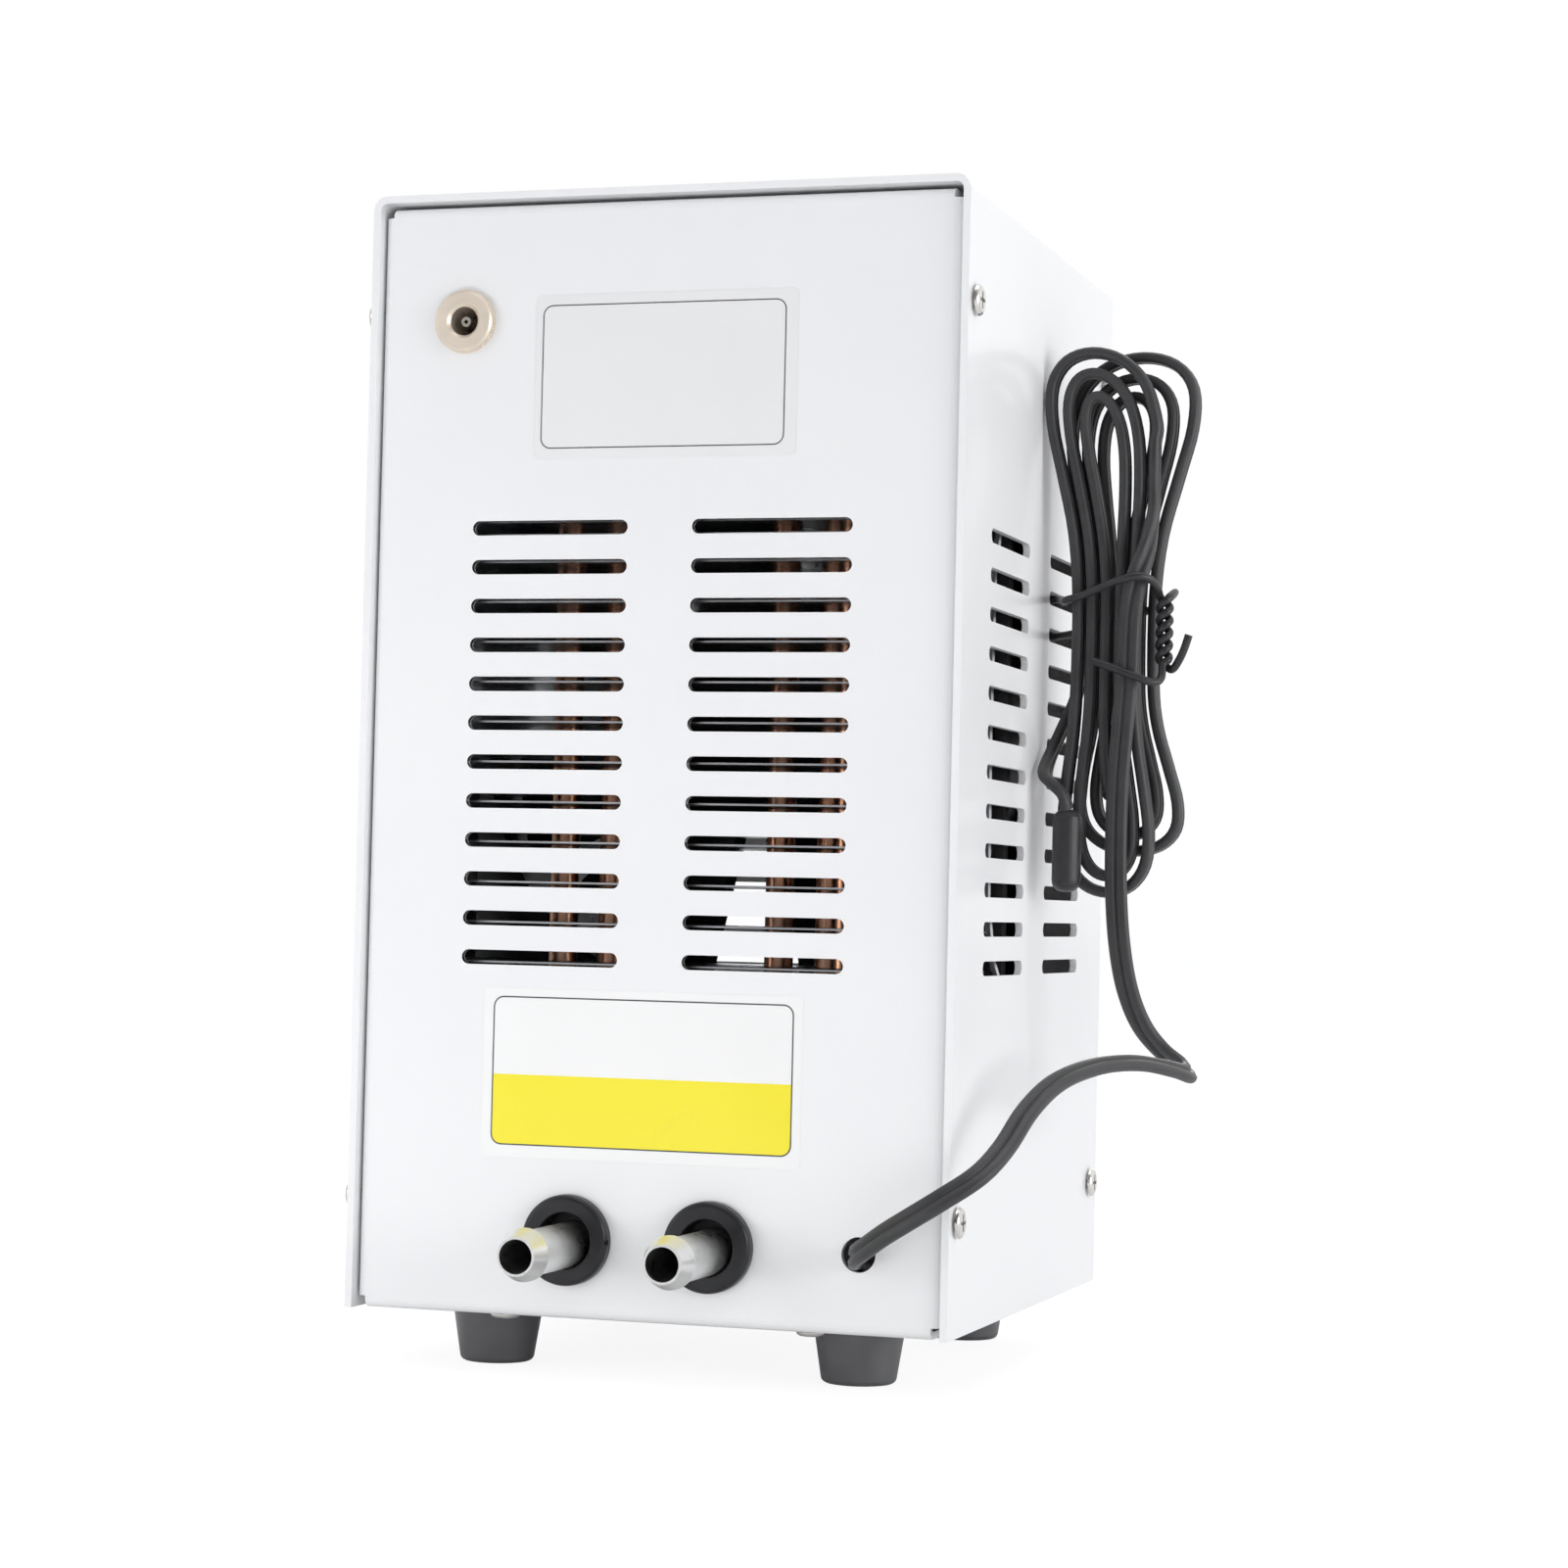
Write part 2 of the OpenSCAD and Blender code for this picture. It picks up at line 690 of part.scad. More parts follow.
module rubber_feet() {
    color("dimgray") for (x = foot_xs, y = foot_ys) translate([x, y, 0]) rotate_extrude() polygon(concat(
        [[foot_bolt_r + hole_gap, foot_h], [foot_bolt_r + hole_gap, foot_well_d], [foot_well_r, foot_well_d],
            [foot_well_r, 0]],
        [for (i = [0:fold_steps]) let (a = 90*i/fold_steps)
            [foot_low_r - foot_edge_r + foot_edge_r*sin(a), foot_edge_r - foot_edge_r*cos(a)]],
        [[foot_top_r, foot_h]]));
}
module foot_screws() {
    bolt_len = z0 + sheet + foot_nut_h + foot_bolt_tail - foot_well_d;
    color("silver") for (x = foot_xs, y = foot_ys) translate([x, y, foot_well_d]) {
        mirror([0, 0, 1]) pan_head(foot_head_r, foot_head_h);
        translate([0, 0, -head_root]) cylinder(r = foot_bolt_r, h = bolt_len + head_root);
    }
}
module foot_nuts() {
    color("silver") for (x = foot_xs, y = foot_ys) translate([x, y, tray_floor])
        hex_nut(foot_nut_r, foot_nut_h, foot_bolt_r);
}

// Power socket, drawn from the panel outwards
module jack_shell() {
    color("lightgray") translate([jack_x, rear_face, jack_height]) out_of_rear() difference() {
        union() {
            linear_extrude(jack_flange_t - jack_bevel) polygon([for (i = [0:2*jack_teeth - 1])
                let (r = jack_flange_r - (i % 2)*knurl_d, a = 180*i/jack_teeth) r*[cos(a), sin(a)]]);
            translate([0, 0, jack_flange_t - jack_bevel]) cylinder(r1 = jack_flange_r - knurl_d - jack_step,
                r2 = jack_flange_r - knurl_d - jack_bevel, h = jack_bevel);
            translate([0, 0, -jack_barrel_len]) cylinder(r = jack_barrel_r, h = jack_barrel_len);
        }
        translate([0, 0, -jack_barrel_len - over])
            cylinder(r = jack_bore_r, h = jack_barrel_len + jack_flange_t + 2*over);
        translate([0, 0, jack_flange_t - jack_mouth])
            cylinder(r1 = jack_bore_r, r2 = jack_bore_r + jack_mouth + over, h = jack_mouth + over);
    }
}
module jack_insulator() {
    thick = jack_barrel_len + jack_flange_t - jack_depth;
    back = rear_face + jack_barrel_len;
    color("#202020") translate([jack_x, back, jack_height]) out_of_rear() difference() {
        cylinder(r = jack_bore_r - seat_gap, h = thick);
        translate([0, 0, -over]) cylinder(r = jack_pin_r + seat_gap, h = thick + 2*over);
    }
}
module jack_pin() {
    long = jack_barrel_len + jack_flange_t - jack_pin_back;
    color("gold") translate([jack_x, rear_face + jack_barrel_len, jack_height]) out_of_rear() difference() {
        cylinder(r = jack_pin_r, h = long);
        translate([0, 0, long - jack_depth]) cylinder(r = jack_pin_hole_r, h = jack_depth + over);
    }
}
module jack_nut() {
    color("silver") translate([jack_x, rear_face + sheet, jack_height]) along_y()
        hex_nut(jack_nut_r, jack_nut_t, jack_barrel_r);
}
module jack_tabs() {
    color("silver") for (turn = [0, 120, 240]) translate([jack_x, rear_face + jack_barrel_len, jack_height])
        rotate([0, turn, 0]) translate([-tab_w/2, 0, tab_spread - tab_t/2]) difference() {
            cube([tab_w, tab_len, tab_t]);
            translate([tab_w/2, tab_len - tab_w/2, -over]) cylinder(r = tab_w/4, h = tab_t + 2*over);
        }
}

// Grommets and spigots
module grommet() {
    rotate_extrude() polygon(concat(
        [[grommet_hole_r, -sheet - grommet_in], [grommet_in_r, -sheet - grommet_in], [grommet_in_r, -sheet],
            [grommet_neck_r, -sheet], [grommet_neck_r, 0], [grommet_r, 0]],
        quarter(grommet_r - grommet_edge, grommet_out - grommet_edge, grommet_edge, grommet_edge),
        [for (i = [0:fold_steps]) let (a = 90*i/fold_steps)
            [grommet_hole_r + grommet_lip - grommet_lip*sin(a),
                grommet_out - grommet_lip + grommet_lip*cos(a)]]));
}
module left_grommet() {
    color("#2b2d30") translate([port_xs[0], rear_face, port_height]) out_of_rear() difference() {
        grommet();
        translate([grommet_r, 0, grommet_out/2]) cylinder(r = nick_r, h = grommet_out);
    }
}
module right_grommet() {
    color("#2b2d30") translate([port_xs[1], rear_face, port_height]) out_of_rear() grommet();
}
module spigot(x) {
    tip = yr - spigot_out;
    long = block_rear + spigot_seat - tip;
    bead_end = bead_len + bead_land;
    color("silver") translate([x, tip, tube_height]) along_y() rotate_extrude() polygon([
        [bore_r, 0], [bore_r + tip_wall, 0], [bead_r, bead_len], [bead_r, bead_end],
        [tube_r, bead_end + bead_back], [tube_r, long], [bore_r, long]
    ]);
}
module left_spigot() spigot(port_xs[0]);
module right_spigot() spigot(port_xs[1]);

// Cooler, from the tray up
module water_block() {
    color("silver") difference() {
        translate([-block_w/2, block_rear, block_low]) cube([block_w, block_d, block_h]);
        for (x = port_xs) translate([x, block_rear - over, tube_height]) along_y() {
            cylinder(r = tube_r + seat_gap, h = spigot_seat + over + seat_gap);
            cylinder(r = bore_r, h = channel_y - block_rear + over);
        }
        translate([port_xs[0], channel_y, tube_height]) along_x()
            cylinder(r = cross_r, h = block_w/2 - port_xs[0] + over);
    }
}
module channel_plug() {
    color("gold") translate([block_w/2 - plug_len, channel_y, tube_height]) along_x() difference() {
        cylinder(r = cross_r - seat_gap, h = plug_len);
        translate([0, 0, plug_len - plug_key_d]) cylinder(r = plug_key_r, h = plug_key_d + over, $fn = 6);
    }
}
module block_pad() {
    color("dimgray") translate([0, cooler_y, tray_floor]) linear_extrude(block_low - tray_floor)
        square([block_w - 2*pad_inset, block_d - 2*pad_inset], center = true);
}
module module_gasket() {
    outer = peltier_w + 2*gasket_w;
    inner = peltier_w + 2*gasket_gap;
    color("white") translate([0, cooler_y, block_top]) linear_extrude(peltier_t) difference() {
        square(outer, center = true);
        square(inner, center = true);
        translate([-lead_notch/2, 0]) square([lead_notch, outer]);
    }
}
module peltier_module() {
    core = peltier_w - 2*pellet_inset;
    color("white") translate([0, cooler_y, block_top]) {
        for (z = [0, peltier_t - ceramic_t]) translate([0, 0, z]) linear_extrude(ceramic_t)
            square(peltier_w, center = true);
        translate([0, 0, ceramic_t]) linear_extrude(peltier_t - 2*ceramic_t) square(core, center = true);
    }
}
module heatsink_base() {
    groove_r = pipe_r + pipe_gap;
    color("silver") difference() {
        translate([-base_w/2, cooler_y - base_d/2, module_top]) cube([base_w, base_d, base_h]);
        translate([-base_w/2 - over, cooler_y, outer_pipe_z]) along_x()
            cylinder(r = groove_r, h = base_w + 2*over);
        translate([-base_w/2 - over, cooler_y - groove_r, outer_pipe_z])
            cube([base_w + 2*over, 2*groove_r, base_h]);
    }
}
// A pipe bent to a U: its bottom, two bends and two legs with crimped tops
module heat_pipe(leg_x, low) {
    color("#b87333") translate([0, cooler_y, low]) {
        translate([pipe_bend - leg_x, 0, 0]) along_x() cylinder(r = pipe_r, h = 2*(leg_x - pipe_bend));
        for (side = [0, 1]) mirror([side, 0, 0]) {
            translate([leg_x - pipe_bend, 0, pipe_bend]) rotate([90, 0, 0]) rotate([0, 0, -90])
                rotate_extrude(angle = 90) translate([pipe_bend, 0]) circle(pipe_r);
            translate([leg_x, 0, pipe_bend])
                cylinder(r = pipe_r, h = pipe_top - pipe_round - low - pipe_bend);
            translate([leg_x, 0, pipe_top - pipe_round - low])
                cylinder(r1 = pipe_r, r2 = pipe_r - pipe_round, h = pipe_round);
        }
    }
}
module outer_heat_pipe() heat_pipe(pipe_out_x, outer_pipe_z);
module inner_heat_pipe() heat_pipe(pipe_in_x, inner_pipe_z);
module fin_stack() {
    color("lightgray") difference() {
        union() {
            for (i = [0:fin_count - 1]) translate([0, cooler_y, fin_z + i*fin_pitch]) linear_extrude(fin_t) {
                square([fin_w, fin_d - 2*fin_step], center = true);
                square([fin_w - 2*fin_edge_w, fin_d], center = true);
            }
            for (x = [-fin_w/2, fin_w/2 - fold_tab_t], y = [-fold_tab_y, fold_tab_y])
                translate([x, cooler_y + y - fold_tab_w/2, fin_z])
                    cube([fold_tab_t, fold_tab_w, fin_top - fin_z]);
        }
        for (x = [-pipe_out_x, -pipe_in_x, pipe_in_x, pipe_out_x]) translate([x, cooler_y, fin_z - over])
            cylinder(r = pipe_r + pipe_gap, h = fin_top - fin_z + 2*over);
    }
}
module clamp_bars() {
    color("silver") for (y = [-bar_y, bar_y]) translate([0, cooler_y + y, base_top]) linear_extrude(bar_t)
        difference() {
            rounded_plate(bar_len, bar_w, bar_w/4);
            for (x = [-bolt_x, bolt_x]) translate([x, 0]) circle(screw_r + hole_gap);
        }
}
module clamp_screws() {
    long = base_top + bar_t + clamp_nut_h + clamp_tail - z0;
    color("silver") for (x = [-bolt_x, bolt_x], y = [-bar_y, bar_y]) translate([x, cooler_y + y, z0]) {
        mirror([0, 0, 1]) pan_head(head_r, head_h);
        translate([0, 0, -head_root]) cylinder(r = screw_r, h = long + head_root);
    }
}
module clamp_nuts() {
    color("silver") for (x = [-bolt_x, bolt_x], y = [-bar_y, bar_y])
        translate([x, cooler_y + y, base_top + bar_t]) hex_nut(clamp_nut_r, clamp_nut_h, screw_r);
}

// Fan, drawn with its axis upwards from its rear and then laid towards +Y
module in_fan() translate([0, fan_rear, fan_height]) along_y() children();
module fan_frame() {
    color("#1c1c1e") in_fan() difference() {
        union() {
            for (z = [0, fan_t - fan_flange]) translate([0, 0, z]) linear_extrude(fan_flange)
                rounded_plate(fan_w, fan_w, fan_corner);
            cylinder(r = fan_bore_r + fan_wall, h = fan_t);
        }
        difference() {
            translate([0, 0, -over]) cylinder(r = fan_bore_r, h = fan_t + 2*over);
            for (i = [0:strut_count - 1]) rotate(360*i/strut_count + 180/strut_count)
                translate([0, -strut_w/2, 0]) cube([fan_bore_r + fan_wall, strut_w, strut_t]);
            cylinder(r = mount_r, h = mount_t);
            difference() {
                cylinder(r = bearing_r + boss_wall, h = mount_t + boss_len);
                translate([0, 0, mount_t]) cylinder(r = bearing_r + seat_gap, h = boss_len + over);
            }
        }
        for (x = [-fan_hole, fan_hole], y = [-fan_hole, fan_hole]) translate([x, y, -over])
            cylinder(r = fan_hole_r, h = fan_t + 2*over);
        translate([0, 0, mount_t]) cylinder(r = bearing_r + seat_gap, h = boss_len + over);
    }
}
module fan_bearing() {
    color("#8a6f3c") in_fan() translate([0, 0, mount_t + bearing_lift]) difference() {
        cylinder(r = bearing_r, h = bearing_len - bearing_lift);
        translate([0, 0, -over]) cylinder(r = shaft_r + shaft_clear, h = bearing_len + 2*over);
    }
}
module fan_stator() {
    inner = bearing_r + boss_wall + seat_gap;
    low = mount_t + stator_lift;
    color("#b87333") in_fan() translate([0, 0, low]) linear_extrude(stator_len) difference() {
        union() {
            circle(inner + boss_wall);
            for (i = [0:pole_count - 1]) rotate(360*i/pole_count) {
                translate([0, -pole_neck_w/2]) square([stator_r - pole_shoe_t/2, pole_neck_w]);
                intersection() {
                    difference() {
                        circle(stator_r);
                        circle(stator_r - pole_shoe_t);
                    }
                    translate([0, -pole_w]) square([stator_r + over, 2*pole_w]);
                }
            }
        }
        circle(inner);
    }
}
// One blade: a slice of a shell bent about a radius, trimmed to a swept outline
module blade() {
    root_r = hub_r - cup_wall/2;
    span = blade_tip_r - root_r;
    shares = [for (i = [0:blade_steps]) i/blade_steps];
    edge = function (s, side) [root_r*(1 - s) + (blade_tip_r + over)*s,
        blade_sweep*s*s + side*(blade_root_w + (blade_tip_w - blade_root_w)*s)/2];
    chord = blade_curve_r*cos(blade_tilt);
    intersection() {
        translate([0, 0, cup_gap + cup_h/2 - blade_deep/2]) linear_extrude(blade_deep) polygon(concat(
            [for (s = shares) edge(s, 1)],
            [for (i = [blade_steps:-1:0]) edge(shares[i], -1)]));
        difference() {
            cylinder(r = blade_tip_r, h = cup_gap + cup_h);
            translate([0, 0, -over]) cylinder(r = root_r, h = cup_gap + cup_h + 2*over);
        }
        translate([0, blade_sweep/2 + blade_curve_r*sin(blade_tilt), cup_gap + cup_h/2 - chord]) along_x()
            difference() {
                cylinder(r = blade_curve_r, h = fan_bore_r);
                translate([0, 0, -over]) cylinder(r = blade_curve_r - blade_t, h = fan_bore_r + 2*over);
            }
    }
}
module fan_rotor() {
    color("#141416") in_fan() translate([0, 0, mount_t]) {
        difference() {
            union() {
                translate([0, 0, cup_gap]) cylinder(r = hub_r, h = cup_h - cup_round);
                translate([0, 0, cup_gap + cup_h - cup_round])
                    cylinder(r1 = hub_r, r2 = hub_r - cup_round, h = cup_round);
            }
            difference() {
                translate([0, 0, -over])
                    cylinder(r = hub_r - cup_wall, h = cup_gap + cup_h - cup_wall + over);
                translate([0, 0, cup_gap + cup_h - cup_wall - rotor_boss_h])
                    cylinder(r = rotor_boss_r, h = rotor_boss_h);
            }
            cylinder(r = shaft_r, h = cup_gap + cup_h - cup_wall + cup_round/2);
        }
        for (i = [0:blade_count - 1]) rotate(360*i/blade_count) blade();
    }
}
module fan_shaft() {
    color("silver") in_fan() translate([0, 0, mount_t + shaft_back])
        cylinder(r = shaft_r, h = cup_gap + cup_h - cup_wall + cup_round/2 - shaft_back);
}
module fan_clip() {
    out = fan_w/2 + clip_r + clip_gap;
    fin_side = fin_w/2 + clip_r + clip_fin_gap;
    front = fan_rear + fan_flange + clip_r + clip_gap;
    back = fan_rear - clip_reach;
    half = [[fan_hole, fan_rear + fan_flange/4, fan_hole], [fan_hole, front - clip_r, fan_hole],
        [fan_hole + 2*clip_r, front, fan_hole], [out - clip_r, front, fan_hole],
        [out, front - 2*clip_r, fan_hole], [out, back + 2*clip_r, fan_hole], [out, back, fan_hole - 2*clip_r],
        [fin_side, back, fan_hole - clip_lean]];
    translate([0, 0, fan_height]) wire(concat(half,
        [for (i = [len(half) - 1:-1:0]) [half[i][0], half[i][1], -half[i][2]]]), clip_r, 2);
}
module fan_clips() {
    color("silver") for (side = [0, 1]) mirror([side, 0, 0]) fan_clip();
}

// Display unit in the end panel
module in_unit(y) translate([0, y, unit_height]) children();
button_xs = [-button_pitch, 0, button_pitch];
module display_bezel() {
    color("#1b1d20") in_unit(front_face) difference() {
        upright(bezel_t) rounded_plate(bezel_w, bezel_h, bezel_edge);
        translate([0, bezel_t - window_t, window_rise]) upright(window_t + over)
            square([window_w + 2*seat_gap, window_h + 2*seat_gap], center = true);
        translate([0, -over, window_rise]) upright(bezel_t + 2*over)
            square([window_w - 2*window_ledge, window_h - 2*window_ledge], center = true);
        for (x = button_xs) translate([x, -over, -button_drop]) along_y()
            cylinder(r = button_r + button_gap, h = bezel_t + 2*over);
    }
}
module display_window() {
    color("#3a0d0d") in_unit(bezel_face - window_t) translate([0, 0, window_rise]) upright(window_t)
        square([window_w, window_h], center = true);
}
module display_housing() {
    color("#1b1d20") in_unit(unit_back) difference() {
        upright(unit_d) rounded_plate(unit_w, unit_h, unit_wall);
        translate([0, unit_wall, 0]) upright(unit_d)
            square([unit_w - 2*unit_wall, unit_h - 2*unit_wall], center = true);
    }
}
module display_board() {
    color("#1d5a34") in_unit(front_face - board_back - board_t) upright(board_t)
        square([board_w, board_h], center = true);
}
module digit_module() {
    color("#101010") in_unit(front_face - board_back) translate([0, 0, window_rise])
        upright(board_back + bezel_t - window_t - digit_gap) square([digit_w, digit_h], center = true);
}
module key_switches() {
    color("#303030") for (x = button_xs) in_unit(front_face - board_back) translate([x, 0, -button_drop]) {
        upright(key_t) square(key_w, center = true);
        translate([0, key_t, 0]) along_y() cylinder(r = key_plunger_r, h = key_plunger_t);
    }
}
module button(x) {
    back = key_top + button_travel + press_gap;
    color("#d8d8d4") in_unit(0) translate([x, 0, -button_drop]) {
        translate([0, front_face - skirt_gap - skirt_t, 0]) along_y() cylinder(r = skirt_r, h = skirt_t);
        translate([0, front_face - skirt_gap - skirt_t, 0]) along_y()
            cylinder(r = button_r, h = skirt_t + skirt_gap + bezel_t + button_out - button_round);
        translate([0, bezel_face + button_out - button_round, 0]) along_y()
            cylinder(r1 = button_r, r2 = button_r - button_round, h = button_round);
        translate([0, back, 0]) along_y() cylinder(r = stem_r, h = front_face - skirt_gap - back);
    }
}
module set_button() button(button_xs[0]);
module down_button() button(button_xs[1]);
module up_button() button(button_xs[2]);
module housing_clips() {
    color("#1b1d20") for (side = [0, 1])
        mirror([side, 0, 0]) translate([unit_w/2, front_face - sheet, unit_height])
        translate([0, 0, -clip_w/2]) linear_extrude(clip_w)
            polygon([[0, 0], [clip_t, 0], [clip_tip, -clip_len], [0, -clip_len]]);
}
module terminal_block() {
    color("#2e6b3d") in_unit(terminal_back) difference() {
        upright(terminal_t) square([terminal_w, terminal_h], center = true);
        for (i = [0:poles - 1]) translate([(i - (poles - 1)/2)*pole_pitch, -over, 0]) along_y()
            cylinder(r = pole_hole_r, h = pole_hole_d + over);
    }
}

// Wiring inside the case: straight at both ends, through places in between
module lead(from, out, between, to, into) {
    wire(concat([from, from + lead_straight*out], between, [to - lead_straight*into, to]),
        lead_r, lead_steps);
}
function pole(i) = [(i - (poles - 1)/2)*pole_pitch, terminal_back, unit_height];
front_run_y = (fan_rear + fan_t + unit_back)/2;
side_run_x = case_w/2 - side_run_gap;
module jack_leads() {
    color("firebrick") for (i = [0, 1]) let (from = [jack_x + (2*i - 1)*lead_pitch/2,
            rear_face + jack_barrel_len + tab_len + lead_gap, jack_height])
        lead(from, [0, 1, 0], [(2*from + pole(i))/3 + [0, 0, lead_slack], (from + 2*pole(i))/3],
            pole(i), [0, 1, 0]);
}
module peltier_leads() {
    color("firebrick") for (i = [0, 1]) let (
            x = (2*i - 1)*lead_pitch/2,
            from = [x, cooler_y + peltier_w/2 - pellet_inset, block_top + peltier_t/2])
        lead(from, [0, 1, 0], [[x, cooler_y + block_d/2 + lead_straight, from[2]],
            [x, front_run_y - lead_straight, base_top], [x, front_run_y, fan_height - fan_w/4],
            [x, front_run_y, fan_height + fan_w/4]], pole(i + 2), [0, 1, 0]);
}
module fan_lead() {
    color("dimgray") for (side = [-1/2, 1/2]) let (
            from = [fan_w/2 - fan_corner - fan_hole_edge,
                fan_rear + fan_t - fan_flange/2 + side*(2*lead_r + lead_gap),
                fan_height + fan_w/2 + lead_gap],
            to = pole(poles - 1) + [side*lead_pitch, 0, 0])
        lead(from, [0, 0, 1], [(2*from + to)/3 + [0, side*lead_pitch/2, lead_slack],
            (from + 2*to)/3 + [0, (2*side - 1)*lead_pitch, lead_slack]], to, [0, 1, 0]);
}
module probe_lead() {
    start = [probe_x, rear_face + sheet, probe_height];
    points = [start, start + [0, lead_straight, 0], [side_run_x, cooler_y, probe_height],
        [side_run_x, fan_rear, probe_height - cord_w/2],
        [side_run_x, front_run_y - lead_straight, probe_height],
        [side_run_x, front_run_y, probe_height + fan_w/4], [side_run_x - lead_pitch, front_run_y, fan_height],
        [(side_run_x + pole(4)[0])/2, front_run_y - lead_pitch, unit_height - unit_h/2],
        pole(4) - [0, lead_straight, 0], pole(4)];
    line = smooth(points, lead_steps);
    color("#e9e9e6") swept(line, carried(line, 0, [0, 0, 1]), flat_outline(lead_sides));
}

// The flat cord's outline: 6 or 8 points of a band with round edges
function flat_outline(n) = n == 6
    ? [for (p = [[1, 0], [0.62, 1], [-0.62, 1], [-1, 0], [-0.62, -1], [0.62, -1]])
        [p[0]*cord_w/2, p[1]*cord_t/2]]
    : [for (p = [[1, 0.4], [0.74, 1], [-0.74, 1], [-1, 0.4], [-1, -0.4], [-0.74, -1], [0.74, -1], [1, -0.4]])
        [p[0]*cord_w/2, p[1]*cord_t/2]];

// The probe's cord
function ramp(s) = let (t = min(max(s, 0), 1)) t*t*(3 - 2*t);
function between(a, low, high) = ramp((a - low)/(high - low));
function half_turn(turn, start, way_up, first) =
    let (mid = strand_pitch*(turn[0] + turn[1])/2, half = strand_pitch*(turn[0] - turn[1])/2)
    [for (i = [first:turn_steps]) let (a = 180*i/turn_steps)
        [hank_x + mid + half*cos(a) + turn[6]*sin(a)*sin(a)
            + sign(half)*turn[5]*sin(a)*sin(a)*cos(a)/bulge_share,
         hank_y + turn[2] + (turn[3] - turn[2])*between(a, 45, 135),
         start + way_up*turn[4]*sin(a)]];
hank_line = concat(
    hank_start,
    [for (k = [0:len(top_turns) - 1]) each concat(
        half_turn(top_turns[k], waist_high, 1, k == 0 ? first_step : 0),
        k < len(low_turns) ? half_turn(low_turns[k], waist_low, -1, 0) : [])],
    smooth(hank_end, end_steps));
// Distance in a strand's thin direction and in its wide one, from a point to a stretch of cord
function strand_gap_at(p, a, b) =
    let (u = [b[0] - a[0], b[2] - a[2]], v = [p[0] - a[0], p[2] - a[2]],
        s = min(max(u*v/(u*u), 0), 1), q = a + (b - a)*s)
    max(norm([p[0] - q[0], p[2] - q[2]]) - cord_t, abs(p[1] - q[1]) - cord_w);
module probe_hank() {
    last = len(hank_line) - 1;
    near = 3*cord_w;
    run = [for (i = 0, s = 0; i <= last;
        s = s + (i < last ? norm(hank_line[i + 1] - hank_line[i]) : 0), i = i + 1) s];
    least = min([for (i = [0:last], k = [0:last - 1])
        if (min(abs(run[i] - run[k]), abs(run[i] - run[k + 1])) > near)
            strand_gap_at(hank_line[i], hank_line[k], hank_line[k + 1])]);
    echo(least_gap_of_hank = least, length_of_hank = run[last]);
    color("#262627") swept(hank_line, [for (p = hank_line) [0, 1, 0]], flat_outline(6));
}
function turned(side, t, a) = side*cos(a) + cross(t, side)*sin(a);
module probe_cord() {
    line = smooth(run_points, run_steps);
    last = len(line) - 1;
    sides = carried(line, 0, [0, 0, 1]);
    t = tangent(line, last);
    want = flattened([0, 1, 0], t);
    whole = atan2(cross(sides[last], want)*t, sides[last]*want);
    part = whole - sign(whole)*90;
    color("#262627") swept(line, [for (i = [0:last]) let (at = i/run_steps) turned(sides[i], tangent(line, i),
        part*between(at, first_twist[0], first_twist[1])
        + (whole - part)*between(at, second_twist[0], second_twist[1]))], flat_outline(run_sides));
}
module probe_capsule() {
    color("#2a2a2c") translate([capsule_x, capsule_y, capsule_top - capsule_len]) rotate_extrude()
        polygon(concat([[0, 0]],
            [for (i = [0:fold_steps]) let (a = 90*i/fold_steps)
                [capsule_w/2 - capsule_round + capsule_round*sin(a), capsule_round - capsule_round*cos(a)]],
            quarter(capsule_w/2 - capsule_round, capsule_len - capsule_round, capsule_round, capsule_round),
            [[0, capsule_len]]));
}

// The tie's two strands climb round each other: a point's height and turn from the low end
function pair_point(i, half) = let (s = i/pair_steps, a = 360*(pair_turns*s + half) - 90)
    [pair_x + pair_r*cos(a), pair_y + pair_r*sin(a), pair_low + (pair_high - pair_low)*s];
module twist_tie() {
    color("#1b1b1c") wire(concat(tie_first_end,
        [for (i = [0:pair_steps]) pair_point(i, 0)],
        tie_wrap,
        [for (i = [pair_steps:-1:0]) pair_point(i, 0.5)],
        tie_last_end), tie_d/2, tie_steps);
}

base_tray();
cover();
cover_screws();
rubber_feet();
foot_screws();
foot_nuts();
jack_shell();
jack_insulator();
jack_pin();
jack_nut();
jack_tabs();
left_grommet();
right_grommet();
left_spigot();
right_spigot();
water_block();
channel_plug();
block_pad();
module_gasket();
peltier_module();
heatsink_base();
outer_heat_pipe();
inner_heat_pipe();
fin_stack();
clamp_bars();
clamp_screws();
clamp_nuts();
fan_frame();
fan_bearing();
fan_stator();
fan_rotor();
fan_shaft();
fan_clips();
display_bezel();
display_window();
display_housing();
display_board();
digit_module();
key_switches();
housing_clips();
terminal_block();
set_button();
down_button();
up_button();
jack_leads();
peltier_leads();
fan_lead();
probe_lead();
probe_cord();
probe_hank();
probe_capsule();
twist_tie();
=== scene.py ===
import math
import bpy
import bmesh
from mathutils import Matrix, Vector


